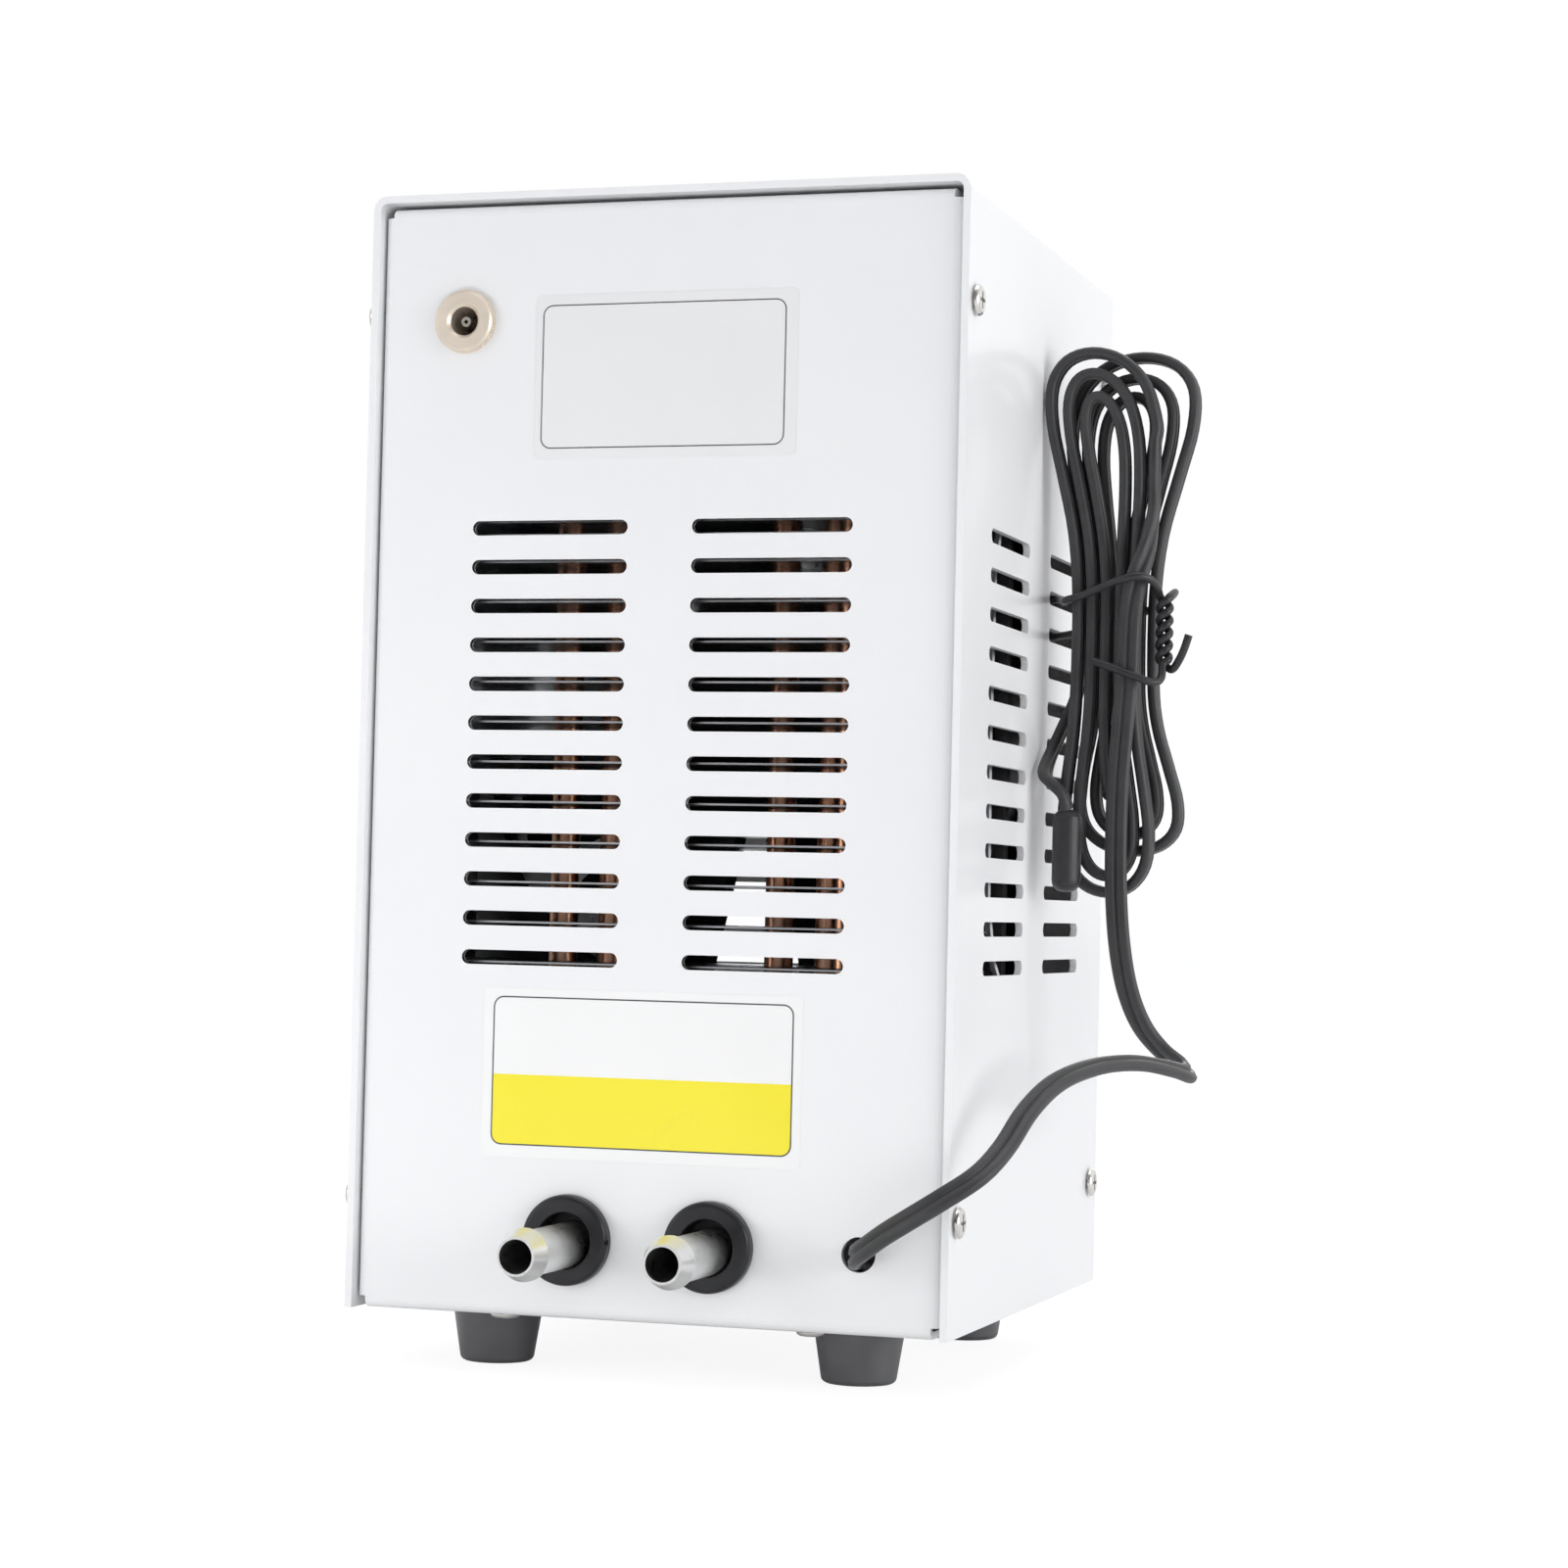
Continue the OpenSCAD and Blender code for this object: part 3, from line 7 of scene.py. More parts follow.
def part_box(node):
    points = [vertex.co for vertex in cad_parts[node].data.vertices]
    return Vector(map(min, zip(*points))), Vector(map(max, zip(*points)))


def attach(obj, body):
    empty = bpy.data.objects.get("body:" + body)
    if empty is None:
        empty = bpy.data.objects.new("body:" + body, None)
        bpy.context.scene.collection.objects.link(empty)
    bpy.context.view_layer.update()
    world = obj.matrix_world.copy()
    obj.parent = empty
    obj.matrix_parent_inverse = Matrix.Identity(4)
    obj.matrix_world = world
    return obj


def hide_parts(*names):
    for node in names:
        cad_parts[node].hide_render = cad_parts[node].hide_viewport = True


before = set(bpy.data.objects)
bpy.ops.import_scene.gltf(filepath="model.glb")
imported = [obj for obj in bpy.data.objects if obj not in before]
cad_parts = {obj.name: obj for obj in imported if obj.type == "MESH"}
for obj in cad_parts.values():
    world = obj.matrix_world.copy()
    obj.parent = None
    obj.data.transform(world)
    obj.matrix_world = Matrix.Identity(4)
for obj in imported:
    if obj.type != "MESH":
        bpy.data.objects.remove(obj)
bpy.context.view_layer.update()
CASE = "chassis"

# Sizes are in millimetres, in the part's frame
PANEL_Y, DISPLAY_Y = -52.9, 77.5   # outside of the connection panel and of the display's panel
SLOTS_Z = 128.7                    # middle of both panels' slots
SLOTS_WIDE, SLOTS_TALL = 100, 104  # a field round all the slots of a panel
SHEET, PAINT_LEFT = 1.5, 0.22      # the sheet, and the paint's edge inside a slot


def metres(*values):
    return Vector([v / 1000 for v in values])


# ---------------------------------------------------------------- camera
CAMERA_PLACE = (239.05, -731.8, 95.5)
YAW, PITCH, ROLL = 17.30, 2.04, 1.32  # degrees
FOCAL_PIXELS, FRAME_PIXELS = 3637.7, 1601
SENSOR = 36


def set_camera():
    yaw, pitch, roll = (math.radians(a) for a in (YAW, PITCH, ROLL))
    ahead = Vector((-math.sin(yaw) * math.cos(pitch), math.cos(yaw) * math.cos(pitch),
                    math.sin(pitch)))
    level = Vector((math.cos(yaw), math.sin(yaw), 0))
    upward = level.cross(ahead)
    right = math.cos(roll) * level + math.sin(roll) * upward
    up = math.cos(roll) * upward - math.sin(roll) * level
    bpy.ops.object.camera_add()
    camera = bpy.context.object
    camera.name = "product_camera"
    camera.data.sensor_width = SENSOR
    camera.data.lens = SENSOR * FOCAL_PIXELS / FRAME_PIXELS
    camera.data.clip_start = 0.01
    turn = Matrix((right, up, -ahead)).transposed().to_4x4()
    camera.matrix_world = Matrix.Translation(metres(*CAMERA_PLACE)) @ turn
    bpy.context.scene.camera = camera


# ---------------------------------------------------------------- nodes of a finish
def new_material(name):
    material = bpy.data.materials.new(name)
    material.use_nodes = True
    nodes, links = material.node_tree.nodes, material.node_tree.links
    return material, nodes, links, nodes["Principled BSDF"]


def coordinates(nodes, kind):
    return nodes.new("ShaderNodeTexCoord").outputs[kind]


def stretched(nodes, links, place, scale):
    mapping = nodes.new("ShaderNodeMapping")
    mapping.inputs["Scale"].default_value = scale
    links.new(place, mapping.inputs["Vector"])
    return mapping.outputs["Vector"]


def noise(nodes, links, place, scale, detail, rough):
    texture = nodes.new("ShaderNodeTexNoise")
    texture.inputs["Scale"].default_value = scale
    texture.inputs["Detail"].default_value = detail
    texture.inputs["Roughness"].default_value = rough
    links.new(place, texture.inputs["Vector"])
    return texture.outputs["Fac"]


def spread(nodes, links, value, low, high, low_at=0.3, high_at=0.7):
    """value, mapped so that low_at gives low and high_at gives high"""
    ramp = nodes.new("ShaderNodeMapRange")
    ends = {"From Min": low_at, "From Max": high_at, "To Min": low, "To Max": high}
    for name, number in ends.items():
        ramp.inputs[name].default_value = number
    links.new(value, ramp.inputs["Value"])
    return ramp.outputs["Result"]


def tint(nodes, links, value, first, second, low_at=0.35, high_at=0.65):
    """The first colour where value is low_at, the second where it is high_at"""
    ramp = nodes.new("ShaderNodeValToRGB")
    for element, colour, at in zip(ramp.color_ramp.elements, (first, second), (low_at, high_at)):
        element.position = at
        element.color = (*colour, 1)
    links.new(value, ramp.inputs["Fac"])
    return ramp.outputs["Color"]


def bump(nodes, links, value, shader, strength, distance):
    relief = nodes.new("ShaderNodeBump")
    relief.inputs["Strength"].default_value = strength
    relief.inputs["Distance"].default_value = distance
    links.new(value, relief.inputs["Height"])
    links.new(relief.outputs["Normal"], shader.inputs["Normal"])


def worked_out(nodes, links, operation, *values):
    """A Math node over numbers and outputs"""
    node = nodes.new("ShaderNodeMath")
    node.operation = operation
    for socket, value in zip(node.inputs, values):
        if isinstance(value, (int, float)):
            socket.default_value = value
        else:
            links.new(value, socket)
    return node.outputs[0]


def axes(nodes, links, vector):
    split = nodes.new("ShaderNodeSeparateXYZ")
    links.new(vector, split.inputs["Vector"])
    return split.outputs


def blended(nodes, links, share, first, second, socket, kind="FLOAT"):
    """Feeds a socket with first, or second where share is 1"""
    mix = nodes.new("ShaderNodeMix")
    mix.data_type = kind
    ends = [i for i in mix.inputs if i.enabled and i.name in "AB"]
    links.new(share, mix.inputs["Factor"])
    for end, value in zip(ends, (first, second)):
        if isinstance(value, (int, float, tuple)):
            end.default_value = value
        else:
            links.new(value, end)
    links.new([o for o in mix.outputs if o.enabled][0], socket)


def mixed(nodes, links, share, first, second):
    """The first shader, or the second where share is 1"""
    mix = nodes.new("ShaderNodeMixShader")
    links.new(share, mix.inputs["Fac"])
    links.new(first, mix.inputs[1])
    links.new(second, mix.inputs[2])
    return mix.outputs["Shader"]


# ---------------------------------------------------------------- finishes
BLOTCH_DETAIL, BLOTCH_ROUGH = 4, 0.5
GRAIN_DETAIL, GRAIN_ROUGH = 3, 0.6
BARE_STEEL, BARE_ROUGH = (0.5, 0.5, 0.5, 1), 0.1


def surface(name, colour, other, rough, metal=0.0, grain=900, grain_depth=0.00002, blotch=40,
            stretch=(1, 1, 1), coat=0.0, coat_rough=0.1, specular=0.5, grain_strength=0.4,
            sheen=0.0):
    """A finish whose colour and gloss vary with blotches and whose relief is a fine grain.
    grain and blotch are the patterns' fineness, and grain_depth is in metres"""
    material, nodes, links, shader = new_material(name)
    place = coordinates(nodes, "Object")
    along = stretched(nodes, links, place, stretch)
    cloud = noise(nodes, links, place, blotch, BLOTCH_DETAIL, BLOTCH_ROUGH)
    fine = noise(nodes, links, along, grain, GRAIN_DETAIL, GRAIN_ROUGH)
    links.new(tint(nodes, links, cloud, colour, other), shader.inputs["Base Color"])
    links.new(spread(nodes, links, cloud, *rough), shader.inputs["Roughness"])
    shader.inputs["Metallic"].default_value = metal
    shader.inputs["Specular IOR Level"].default_value = specular
    shader.inputs["Coat Weight"].default_value = coat
    shader.inputs["Coat Roughness"].default_value = coat_rough
    shader.inputs["Sheen Weight"].default_value = sheen
    bump(nodes, links, fine, shader, grain_strength, grain_depth)
    return material


def bare_slot_edges(material):
    """Makes the punched faces of both panels' slots bare and smooth, with paint left at the
    inner edge"""
    nodes, links = material.node_tree.nodes, material.node_tree.links
    shader = nodes["Principled BSDF"]
    place = axes(nodes, links, coordinates(nodes, "Object"))
    facing = axes(nodes, links, nodes.new("ShaderNodeNewGeometry").outputs["True Normal"])

    def below(value, limit):
        return worked_out(nodes, links, "LESS_THAN", value, limit)

    def size(value):
        return worked_out(nodes, links, "ABSOLUTE", value)

    share = below(size(facing["Y"]), 0.5)
    middle = worked_out(nodes, links, "SUBTRACT", place["Z"], SLOTS_Z / 1000)
    centre = worked_out(nodes, links, "SUBTRACT", place["Y"], (PANEL_Y + DISPLAY_Y) / 2000)
    reach = (DISPLAY_Y - PANEL_Y) / 2 - SHEET + PAINT_LEFT
    outer = worked_out(nodes, links, "GREATER_THAN", size(centre), reach / 1000)
    in_width = below(size(place["X"]), SLOTS_WIDE / 2000)
    in_height = below(size(middle), SLOTS_TALL / 2000)
    for limit in (in_width, in_height, outer):
        share = worked_out(nodes, links, "MULTIPLY", share, limit)
    colour, gloss = shader.inputs["Base Color"], shader.inputs["Roughness"]
    blended(nodes, links, share, colour.links[0].from_socket, BARE_STEEL, colour, "RGBA")
    blended(nodes, links, share, gloss.links[0].from_socket, BARE_ROUGH, gloss)
    links.new(share, shader.inputs["Metallic"])


def make_finishes():
    f = {}
    # Case, feet and fasteners
    f["white_paint"] = surface(
        "white_powder_coat", (0.832, 0.835, 0.845), (0.852, 0.855, 0.863), (0.3, 0.38),
        grain=1500, grain_depth=0.00004, grain_strength=0.3, blotch=14, coat=0.16, coat_rough=0.08)
    bare_slot_edges(f["white_paint"])
    f["black_rubber"] = surface(
        "black_foot_rubber", (0.06, 0.06, 0.066), (0.078, 0.078, 0.085), (0.38, 0.46),
        grain=300, blotch=120, stretch=(0.5, 0.5, 6), coat=0.6, coat_rough=0.4, specular=0.8)
    f["screw_steel"] = surface(
        "screw_nickel", (0.72, 0.7, 0.67), (0.8, 0.78, 0.75), (0.16, 0.28), metal=1,
        grain=1800, grain_depth=0.000015, blotch=300)

    # Ports and power socket
    f["grommet_rubber"] = surface(
        "grommet_rubber", (0.009, 0.009, 0.011), (0.015, 0.015, 0.018), (0.26, 0.4),
        grain_depth=0.00004, blotch=150)
    f["turned_steel"] = surface(
        "turned_bright_steel", (0.78, 0.78, 0.77), (0.85, 0.85, 0.84), (0.26, 0.34), metal=1,
        grain=2200, grain_depth=0.00001, blotch=200, stretch=(0.6, 2, 0.6))
    f["nickel"] = surface(
        "nickel_plate", (0.74, 0.71, 0.66), (0.82, 0.79, 0.74), (0.14, 0.24), metal=1,
        grain=1400, grain_depth=0.00001, blotch=160)
    f["socket_metal"] = surface(
        "satin_socket_plate", (0.84, 0.74, 0.62), (0.9, 0.8, 0.68), (0.34, 0.44), metal=0.7,
        grain=1600, grain_depth=0.00001, blotch=160)
    f["pin_metal"] = surface(
        "pin_nickel", (0.5, 0.46, 0.4), (0.62, 0.58, 0.5), (0.2, 0.32), metal=1, blotch=400)

    # Cooler
    f["copper"] = surface(
        "heat_pipe_copper", (0.8, 0.38, 0.22), (0.9, 0.52, 0.36), (0.22, 0.38), metal=1,
        grain=600, blotch=90)
    f["fin_metal"] = surface(
        "fin_aluminium", (0.64, 0.65, 0.67), (0.74, 0.75, 0.77), (0.24, 0.36), metal=1,
        grain_depth=0.00001, blotch=60, stretch=(0.2, 5, 1))
    f["block_metal"] = surface(
        "milled_aluminium", (0.6, 0.61, 0.63), (0.72, 0.73, 0.75), (0.26, 0.42), metal=1,
        grain=500, grain_depth=0.00003, blotch=70, stretch=(8, 0.4, 1))
    f["dark_block"] = surface(
        "anodised_water_block", (0.03, 0.03, 0.032), (0.045, 0.045, 0.048), (0.4, 0.55), metal=0.8,
        grain_depth=0.00003, blotch=90)
    f["ceramic"] = surface(
        "white_ceramic", (0.76, 0.76, 0.74), (0.82, 0.82, 0.8), (0.42, 0.55), blotch=180)
    f["pad_rubber"] = surface(
        "grey_foam_rubber", (0.09, 0.09, 0.095), (0.13, 0.13, 0.135), (0.7, 0.85),
        grain=1100, grain_depth=0.0001, blotch=200)

    # Fan
    f["fan_plastic"] = surface(
        "black_fan_plastic", (0.014, 0.014, 0.015), (0.022, 0.022, 0.024), (0.38, 0.5),
        grain=1300, grain_depth=0.00003, blotch=80)
    f["bearing_bronze"] = surface(
        "sintered_bronze", (0.42, 0.27, 0.13), (0.52, 0.36, 0.2), (0.35, 0.5), metal=1,
        grain=2500, grain_depth=0.00004, blotch=300)
    f["core_steel"] = surface(
        "laminated_core", (0.24, 0.24, 0.25), (0.34, 0.34, 0.35), (0.35, 0.5), metal=1,
        grain=500, grain_depth=0.00006, blotch=200, stretch=(0.3, 9, 0.3))

    # Display unit
    f["bezel_plastic"] = surface(
        "black_bezel_plastic", (0.013, 0.013, 0.014), (0.019, 0.019, 0.021), (0.32, 0.42),
        grain=1700, grain_depth=0.00004, blotch=60)
    f["housing_plastic"] = surface(
        "black_housing_plastic", (0.02, 0.02, 0.021), (0.028, 0.028, 0.03), (0.45, 0.6),
        grain_depth=0.00004, blotch=60)
    f["window"] = surface(
        "smoked_window", (0.012, 0.004, 0.004), (0.018, 0.006, 0.006), (0.05, 0.09),
        grain=200, grain_depth=0.000005, blotch=30, coat=1.0, coat_rough=0.03)
    f["board"] = surface(
        "green_circuit_board", (0.01, 0.1, 0.035), (0.02, 0.16, 0.06), (0.25, 0.4),
        grain=1200, grain_depth=0.00003, blotch=260, coat=0.5)
    f["digit_plastic"] = surface(
        "dark_digit_module", (0.03, 0.03, 0.032), (0.05, 0.045, 0.045), (0.2, 0.3), blotch=90)
    f["button"] = surface(
        "grey_button", (0.11, 0.115, 0.12), (0.14, 0.145, 0.15), (0.34, 0.44),
        grain=1500, grain_depth=0.00003, blotch=150)
    f["mark_paint"] = surface(
        "mark_paint", (0.72, 0.73, 0.74), (0.8, 0.81, 0.82), (0.35, 0.5), blotch=300)
    f["terminal"] = surface(
        "green_terminal_block", (0.02, 0.16, 0.07), (0.03, 0.22, 0.1), (0.35, 0.48), blotch=120)

    # Leads, cord and tie
    f["red_lead"] = surface(
        "red_lead", (0.45, 0.02, 0.015), (0.6, 0.035, 0.03), (0.3, 0.42), blotch=160)
    f["grey_lead"] = surface(
        "dark_lead", (0.03, 0.03, 0.032), (0.05, 0.05, 0.052), (0.35, 0.46), blotch=160)
    f["pale_lead"] = surface(
        "pale_flat_lead", (0.17, 0.17, 0.165), (0.23, 0.23, 0.22), (0.4, 0.52), blotch=160)
    f["cord_rubber"] = surface(
        "cord_jacket", (0.026, 0.026, 0.028), (0.042, 0.042, 0.044), (0.42, 0.56),
        grain_depth=0.00006, blotch=85, sheen=0.1)
    f["capsule_rubber"] = surface(
        "capsule_jacket", (0.02, 0.02, 0.022), (0.032, 0.032, 0.035), (0.34, 0.48),
        grain=1100, grain_depth=0.00005, blotch=150)
    f["tie_jacket"] = surface(
        "tie_jacket", (0.016, 0.016, 0.018), (0.028, 0.028, 0.03), (0.3, 0.42),
        grain=1300, grain_depth=0.00003, blotch=200)

    # Stickers
    f["film"] = surface(
        "sticker_film", (0.8, 0.8, 0.8), (0.815, 0.815, 0.815), (0.16, 0.22),
        grain=260, grain_depth=0.00001, blotch=30)
    f["white_print"] = surface(
        "white_sticker_print", (0.86, 0.86, 0.855), (0.875, 0.875, 0.87), (0.2, 0.28),
        grain=300, grain_depth=0.00001, blotch=30)
    f["yellow_print"] = surface(
        "yellow_sticker_print", (0.88, 0.765, 0.026), (0.9, 0.79, 0.036), (0.2, 0.28),
        grain=300, grain_depth=0.00001, blotch=30)
    f["border_ink"] = surface(
        "border_ink", (0.06, 0.06, 0.065), (0.09, 0.09, 0.095), (0.25, 0.35), blotch=200)
    return f


NODE_FINISHES = {
    "white_paint": ["base_tray", "cover"],
    "screw_steel": ["cover_screws", "foot_screws", "foot_nuts", "clamp_screws", "clamp_nuts"],
    "black_rubber": ["rubber_feet"],
    "grommet_rubber": ["left_grommet", "right_grommet", "jack_insulator"],
    "socket_metal": ["jack_shell"],
    "nickel": ["jack_nut", "jack_tabs", "key_switches"],
    "pin_metal": ["jack_pin"],
    "turned_steel": ["left_spigot", "right_spigot", "fan_shaft"],
    "dark_block": ["water_block", "channel_plug"],
    "block_metal": ["heatsink_base"],
    "pad_rubber": ["block_pad", "module_gasket"],
    "ceramic": ["peltier_module"],
    "copper": ["outer_heat_pipe", "inner_heat_pipe"],
    "fin_metal": ["fin_stack", "clamp_bars", "fan_clips"],
    "fan_plastic": ["fan_frame", "fan_rotor"],
    "bearing_bronze": ["fan_bearing"],
    "core_steel": ["fan_stator"],
    "bezel_plastic": ["display_bezel"],
    "window": ["display_window"],
    "housing_plastic": ["display_housing", "housing_clips"],
    "board": ["display_board"],
    "digit_plastic": ["digit_module"],
    "terminal": ["terminal_block"],
    "button": ["set_button", "down_button", "up_button"],
    "red_lead": ["jack_leads", "peltier_leads"],
    "grey_lead": ["fan_lead"],
    "pale_lead": ["probe_lead"],
    "capsule_rubber": ["probe_capsule"],
}


def dress_nodes(finishes):
    for finish_name, names in NODE_FINISHES.items():
        for name in names:
            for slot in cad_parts[name].material_slots:
                slot.material = finishes[finish_name]


# ---------------------------------------------------------------- modelling helpers
def clear_selection():
    if bpy.context.object and bpy.context.object.mode != "OBJECT":
        bpy.ops.object.mode_set(mode="OBJECT")
    bpy.ops.object.select_all(action="DESELECT")


def only(piece):
    clear_selection()
    piece.select_set(True)
    bpy.context.view_layer.objects.active = piece


def settle(piece, name, finish):
    """Puts the piece's place into its mesh, names it and gives it its finish"""
    only(piece)
    bpy.ops.object.transform_apply(location=True, rotation=True, scale=True)
    piece.name = name
    piece.data.materials.append(finish)


def edit(piece, kind="FACE"):
    """Opens the piece in edit mode, with all of it selected"""
    only(piece)
    bpy.ops.object.mode_set(mode="EDIT")
    bpy.ops.mesh.select_mode(type=kind)
    bpy.ops.mesh.select_all(action="SELECT")


def done():
    bpy.ops.object.mode_set(mode="OBJECT")


# ---------------------------------------------------------------- lines and tubes along them
CORNER_ANGLE = 50  # degrees from which a tube's edge stays sharp


def blend_point(a, b, c, d, t):
    """A point between b and c on the smooth line through all four"""
    return (2 * b + (c - a) * t + (2 * a - 5 * b + 4 * c - d) * t * t
            + (3 * b - a - 3 * c + d) * t ** 3) / 2


def smooth_line(points, steps):
    points = [Vector(p) for p in points]
    last = len(points) - 1
    line = []
    for i in range(last):
        near = points[max(i - 1, 0)], points[i], points[i + 1], points[min(i + 2, last)]
        line += [blend_point(*near, j / steps) for j in range(steps)]
    return line + [points[last]]


def ease(s):
    s = min(max(s, 0), 1)
    return s * s * (3 - 2 * s)


def tangents(line):
    last = len(line) - 1
    return [(line[min(i + 1, last)] - line[max(i - 1, 0)]).normalized() for i in range(last + 1)]


def across(v, t):
    """The direction of v as seen along t"""
    return (v - v.dot(t) * t).normalized()


def tube(name, line, sides, outline, finish):
    """A mesh along a line: every ring is the outline, as (wide, thin) places in millimetres"""
    t = tangents(line)
    n = len(outline)
    verts = []
    for p, side, ahead in zip(line, sides, t):
        wide = across(side, ahead)
        thin = ahead.cross(wide)
        verts += [(p + wide * a + thin * b) / 1000 for a, b in outline]
    faces = [(i * n + k, i * n + (k + 1) % n, (i + 1) * n + (k + 1) % n, (i + 1) * n + k)
             for i in range(len(line) - 1) for k in range(n)]
    faces += [tuple(range(n - 1, -1, -1)), tuple((len(line) - 1) * n + k for k in range(n))]
    mesh = bpy.data.meshes.new(name)
    mesh.from_pydata(verts, [], faces)
    piece = bpy.data.objects.new(name, mesh)
    bpy.context.scene.collection.objects.link(piece)
    mesh.materials.append(finish)
    edit(piece)
    bpy.ops.mesh.normals_make_consistent(inside=False)
    done()
    bpy.ops.object.shade_smooth_by_angle(angle=math.radians(CORNER_ANGLE))
    return piece


# ---------------------------------------------------------------- the probe's flat cord
# The hank: its middle, the spacing of its strands across and in depth, and the heights between
# which the strands run straight
HANK_X, HANK_Y = 80, 15.3
STRAND, LAYER = 3.1, 5.4
WAIST_HIGH, WAIST_LOW = 164, 146
FRONT, BACK = -LAYER / 2, LAYER / 2
# Half turns: the strand that each leaves and the one that it reaches, the layers of both, how far
# it goes past the waist, how far it bulges and how far it sways to the right
TOP_TURNS = [
    (2.5, -2.5, FRONT, FRONT, 52.5, 6.4, -5.5), (1.5, -1.5, FRONT, FRONT, 48, 4.4, -5.3),
    (0.5, -0.5, FRONT, FRONT, 43, 3, -4.2), (0.5, -0.5, BACK, BACK, 43.5, 4.6, 2.6),
    (1.5, -1.5, BACK, BACK, 47.5, 6.3, 3.2), (2.5, -2.5, BACK, BACK, 52, 8.3, 4.5)]
LOW_TURNS = [
    (-2.5, 1.5, FRONT, FRONT, 45, 5.3, 1.5), (-1.5, 0.5, FRONT, FRONT, 41.5, 4, 1.3),
    (-0.5, 0.5, FRONT, BACK, 24, 0, -0.2), (-0.5, 1.5, BACK, BACK, 32.6, 4.8, 1.6),
    (-1.5, 2.5, BACK, BACK, 36, 6.8, 2.6)]
TURN_STEPS, FIRST_STEP = 12, 3     # steps of a half turn, and where the cord joins the first
CHANGE_FROM, CHANGE_LONG = 45, 90  # degrees of a half turn in which it changes its layer
BULGE_PEAK = 0.385                 # the most that the bulge's own curve comes to
HANK_START = [(88.3, 12.6, 193), (88.3, 12.6, 197)]
HANK_END = [
    (72, 18.2, 150), (70.9, 18.4, 143), (68.2, 17.4, 136), (66.5, 14.6, 130.4), (66.3, 11, 127),
    (67.2, 7.9, 125), (69.2, 6.2, 123.4), (71.2, 6, 121.4), (72.1, 6.6, 118.4)]
# The free run, from the hole in the panel up to the hank, and the points between which it twists
RUN_POINTS = [
    (45, -51.4, 27.5), (45, -55, 27.6), (46.5, -59, 28.6), (49.5, -62.5, 30.5), (54, -65.5, 33.5),
    (59.7, -67.5, 37), (65.5, -67.5, 40.7), (72, -64, 45.5), (75.2, -57, 50.5), (77.6, -47, 57.5),
    (80.6, -35, 62.6), (85.4, -21, 65.4), (91, -9, 65.9), (96, 1, 64.6), (98.4, 8.4, 63.4),
    (96.8, 13.8, 64.4), (91.8, 15.2, 67.6), (87.6, 13.2, 73), (84.9, 10.6, 80.6), (83.4, 8.8, 90),
    (82.6, 8.1, 101), (82.4, 8, 113), (82.6, 8, 125), (83.4, 7.9, 137), (84.2, 7.8, 148),
    (84.6, 7.4, 158), (85.6, 6.8, 166), (87.8, 8.4, 174), (88.4, 11.6, 182), (88.3, 12.6, 187),
    (88.3, 12.6, 190)]
FIRST_TWIST, SECOND_TWIST = (11, 19), (25, 28)
RUN_STEPS, HANK_STEPS = 6, 4
# The jacket's section, 4.8 by 2.5 mm: two round cores side by side, and a groove between them,
# given by its bottom and its side
CORE_X, CORE_R = 1.15, 1.25
CORE_ARC, CORE_PARTS = 144, 8
GROOVE_BOTTOM = (0, -0.64)
GROOVE_SIDE = [(0.2, -0.78), (0.42, -1.02), (0.75, -1.2)]


def half_turn(turn, waist, way, first=0):
    """A half turn's points from step first on, above the waist where way is 1 and below at -1"""
    leaves, reaches, layer, next_layer, reach, bulge, sway = turn
    mid, half = STRAND * (leaves + reaches) / 2, STRAND * (leaves - reaches) / 2
    points = []
    for i in range(first, TURN_STEPS + 1):
        a = math.pi * i / TURN_STEPS
        swell = math.sin(a) ** 2
        out = math.copysign(bulge, half) * swell * math.cos(a) / BULGE_PEAK
        change = ease((math.degrees(a) - CHANGE_FROM) / CHANGE_LONG)
        depth = layer + (next_layer - layer) * change
        points.append((HANK_X + mid + half * math.cos(a) + sway * swell + out, HANK_Y + depth,
                       waist + way * reach * math.sin(a)))
    return points


def hank_points():
    points = list(HANK_START)
    for k, turn in enumerate(TOP_TURNS):
        points += half_turn(turn, WAIST_HIGH, 1, FIRST_STEP if k == 0 else 0)
        if k < len(LOW_TURNS):
            points += half_turn(LOW_TURNS[k], WAIST_LOW, -1)
    return points + HANK_END


def flat_cord_sides(line, run_count):
    """The direction of the cord's wide side at each point: carried along the free run and turned
    twice there, and towards Y all along the hank"""
    t = tangents(line)
    side, carried = Vector((0, 0, 1)), []
    for i in range(run_count):
        side = across(side, t[i])
        carried.append(side)
    want = across(Vector((0, 1, 0)), t[run_count - 1])
    whole = math.atan2(carried[-1].cross(want).dot(t[run_count - 1]), carried[-1].dot(want))
    part = whole - math.copysign(math.pi / 2, whole)
    sides = []
    for i, v in enumerate(carried):
        at = i / RUN_STEPS
        spin = part * ease((at - FIRST_TWIST[0]) / (FIRST_TWIST[1] - FIRST_TWIST[0]))
        spin += (whole - part) * ease((at - SECOND_TWIST[0]) / (SECOND_TWIST[1] - SECOND_TWIST[0]))
        sides.append(Matrix.Rotation(spin, 3, t[i]) @ v)
    return sides + [across(Vector((0, 1, 0)), t[i]) for i in range(run_count, len(line))]


def twin_outline():
    right = list(GROOVE_SIDE)
    for i in range(1, CORE_PARTS):
        a = math.radians(CORE_ARC * i / CORE_PARTS - CORE_ARC / 2)
        right.append((CORE_X + CORE_R * math.cos(a), CORE_R * math.sin(a)))
    right += [(a, -b) for a, b in reversed(GROOVE_SIDE)]
    half = [GROOVE_BOTTOM] + right
    return half + [(-a, -b) for a, b in half]


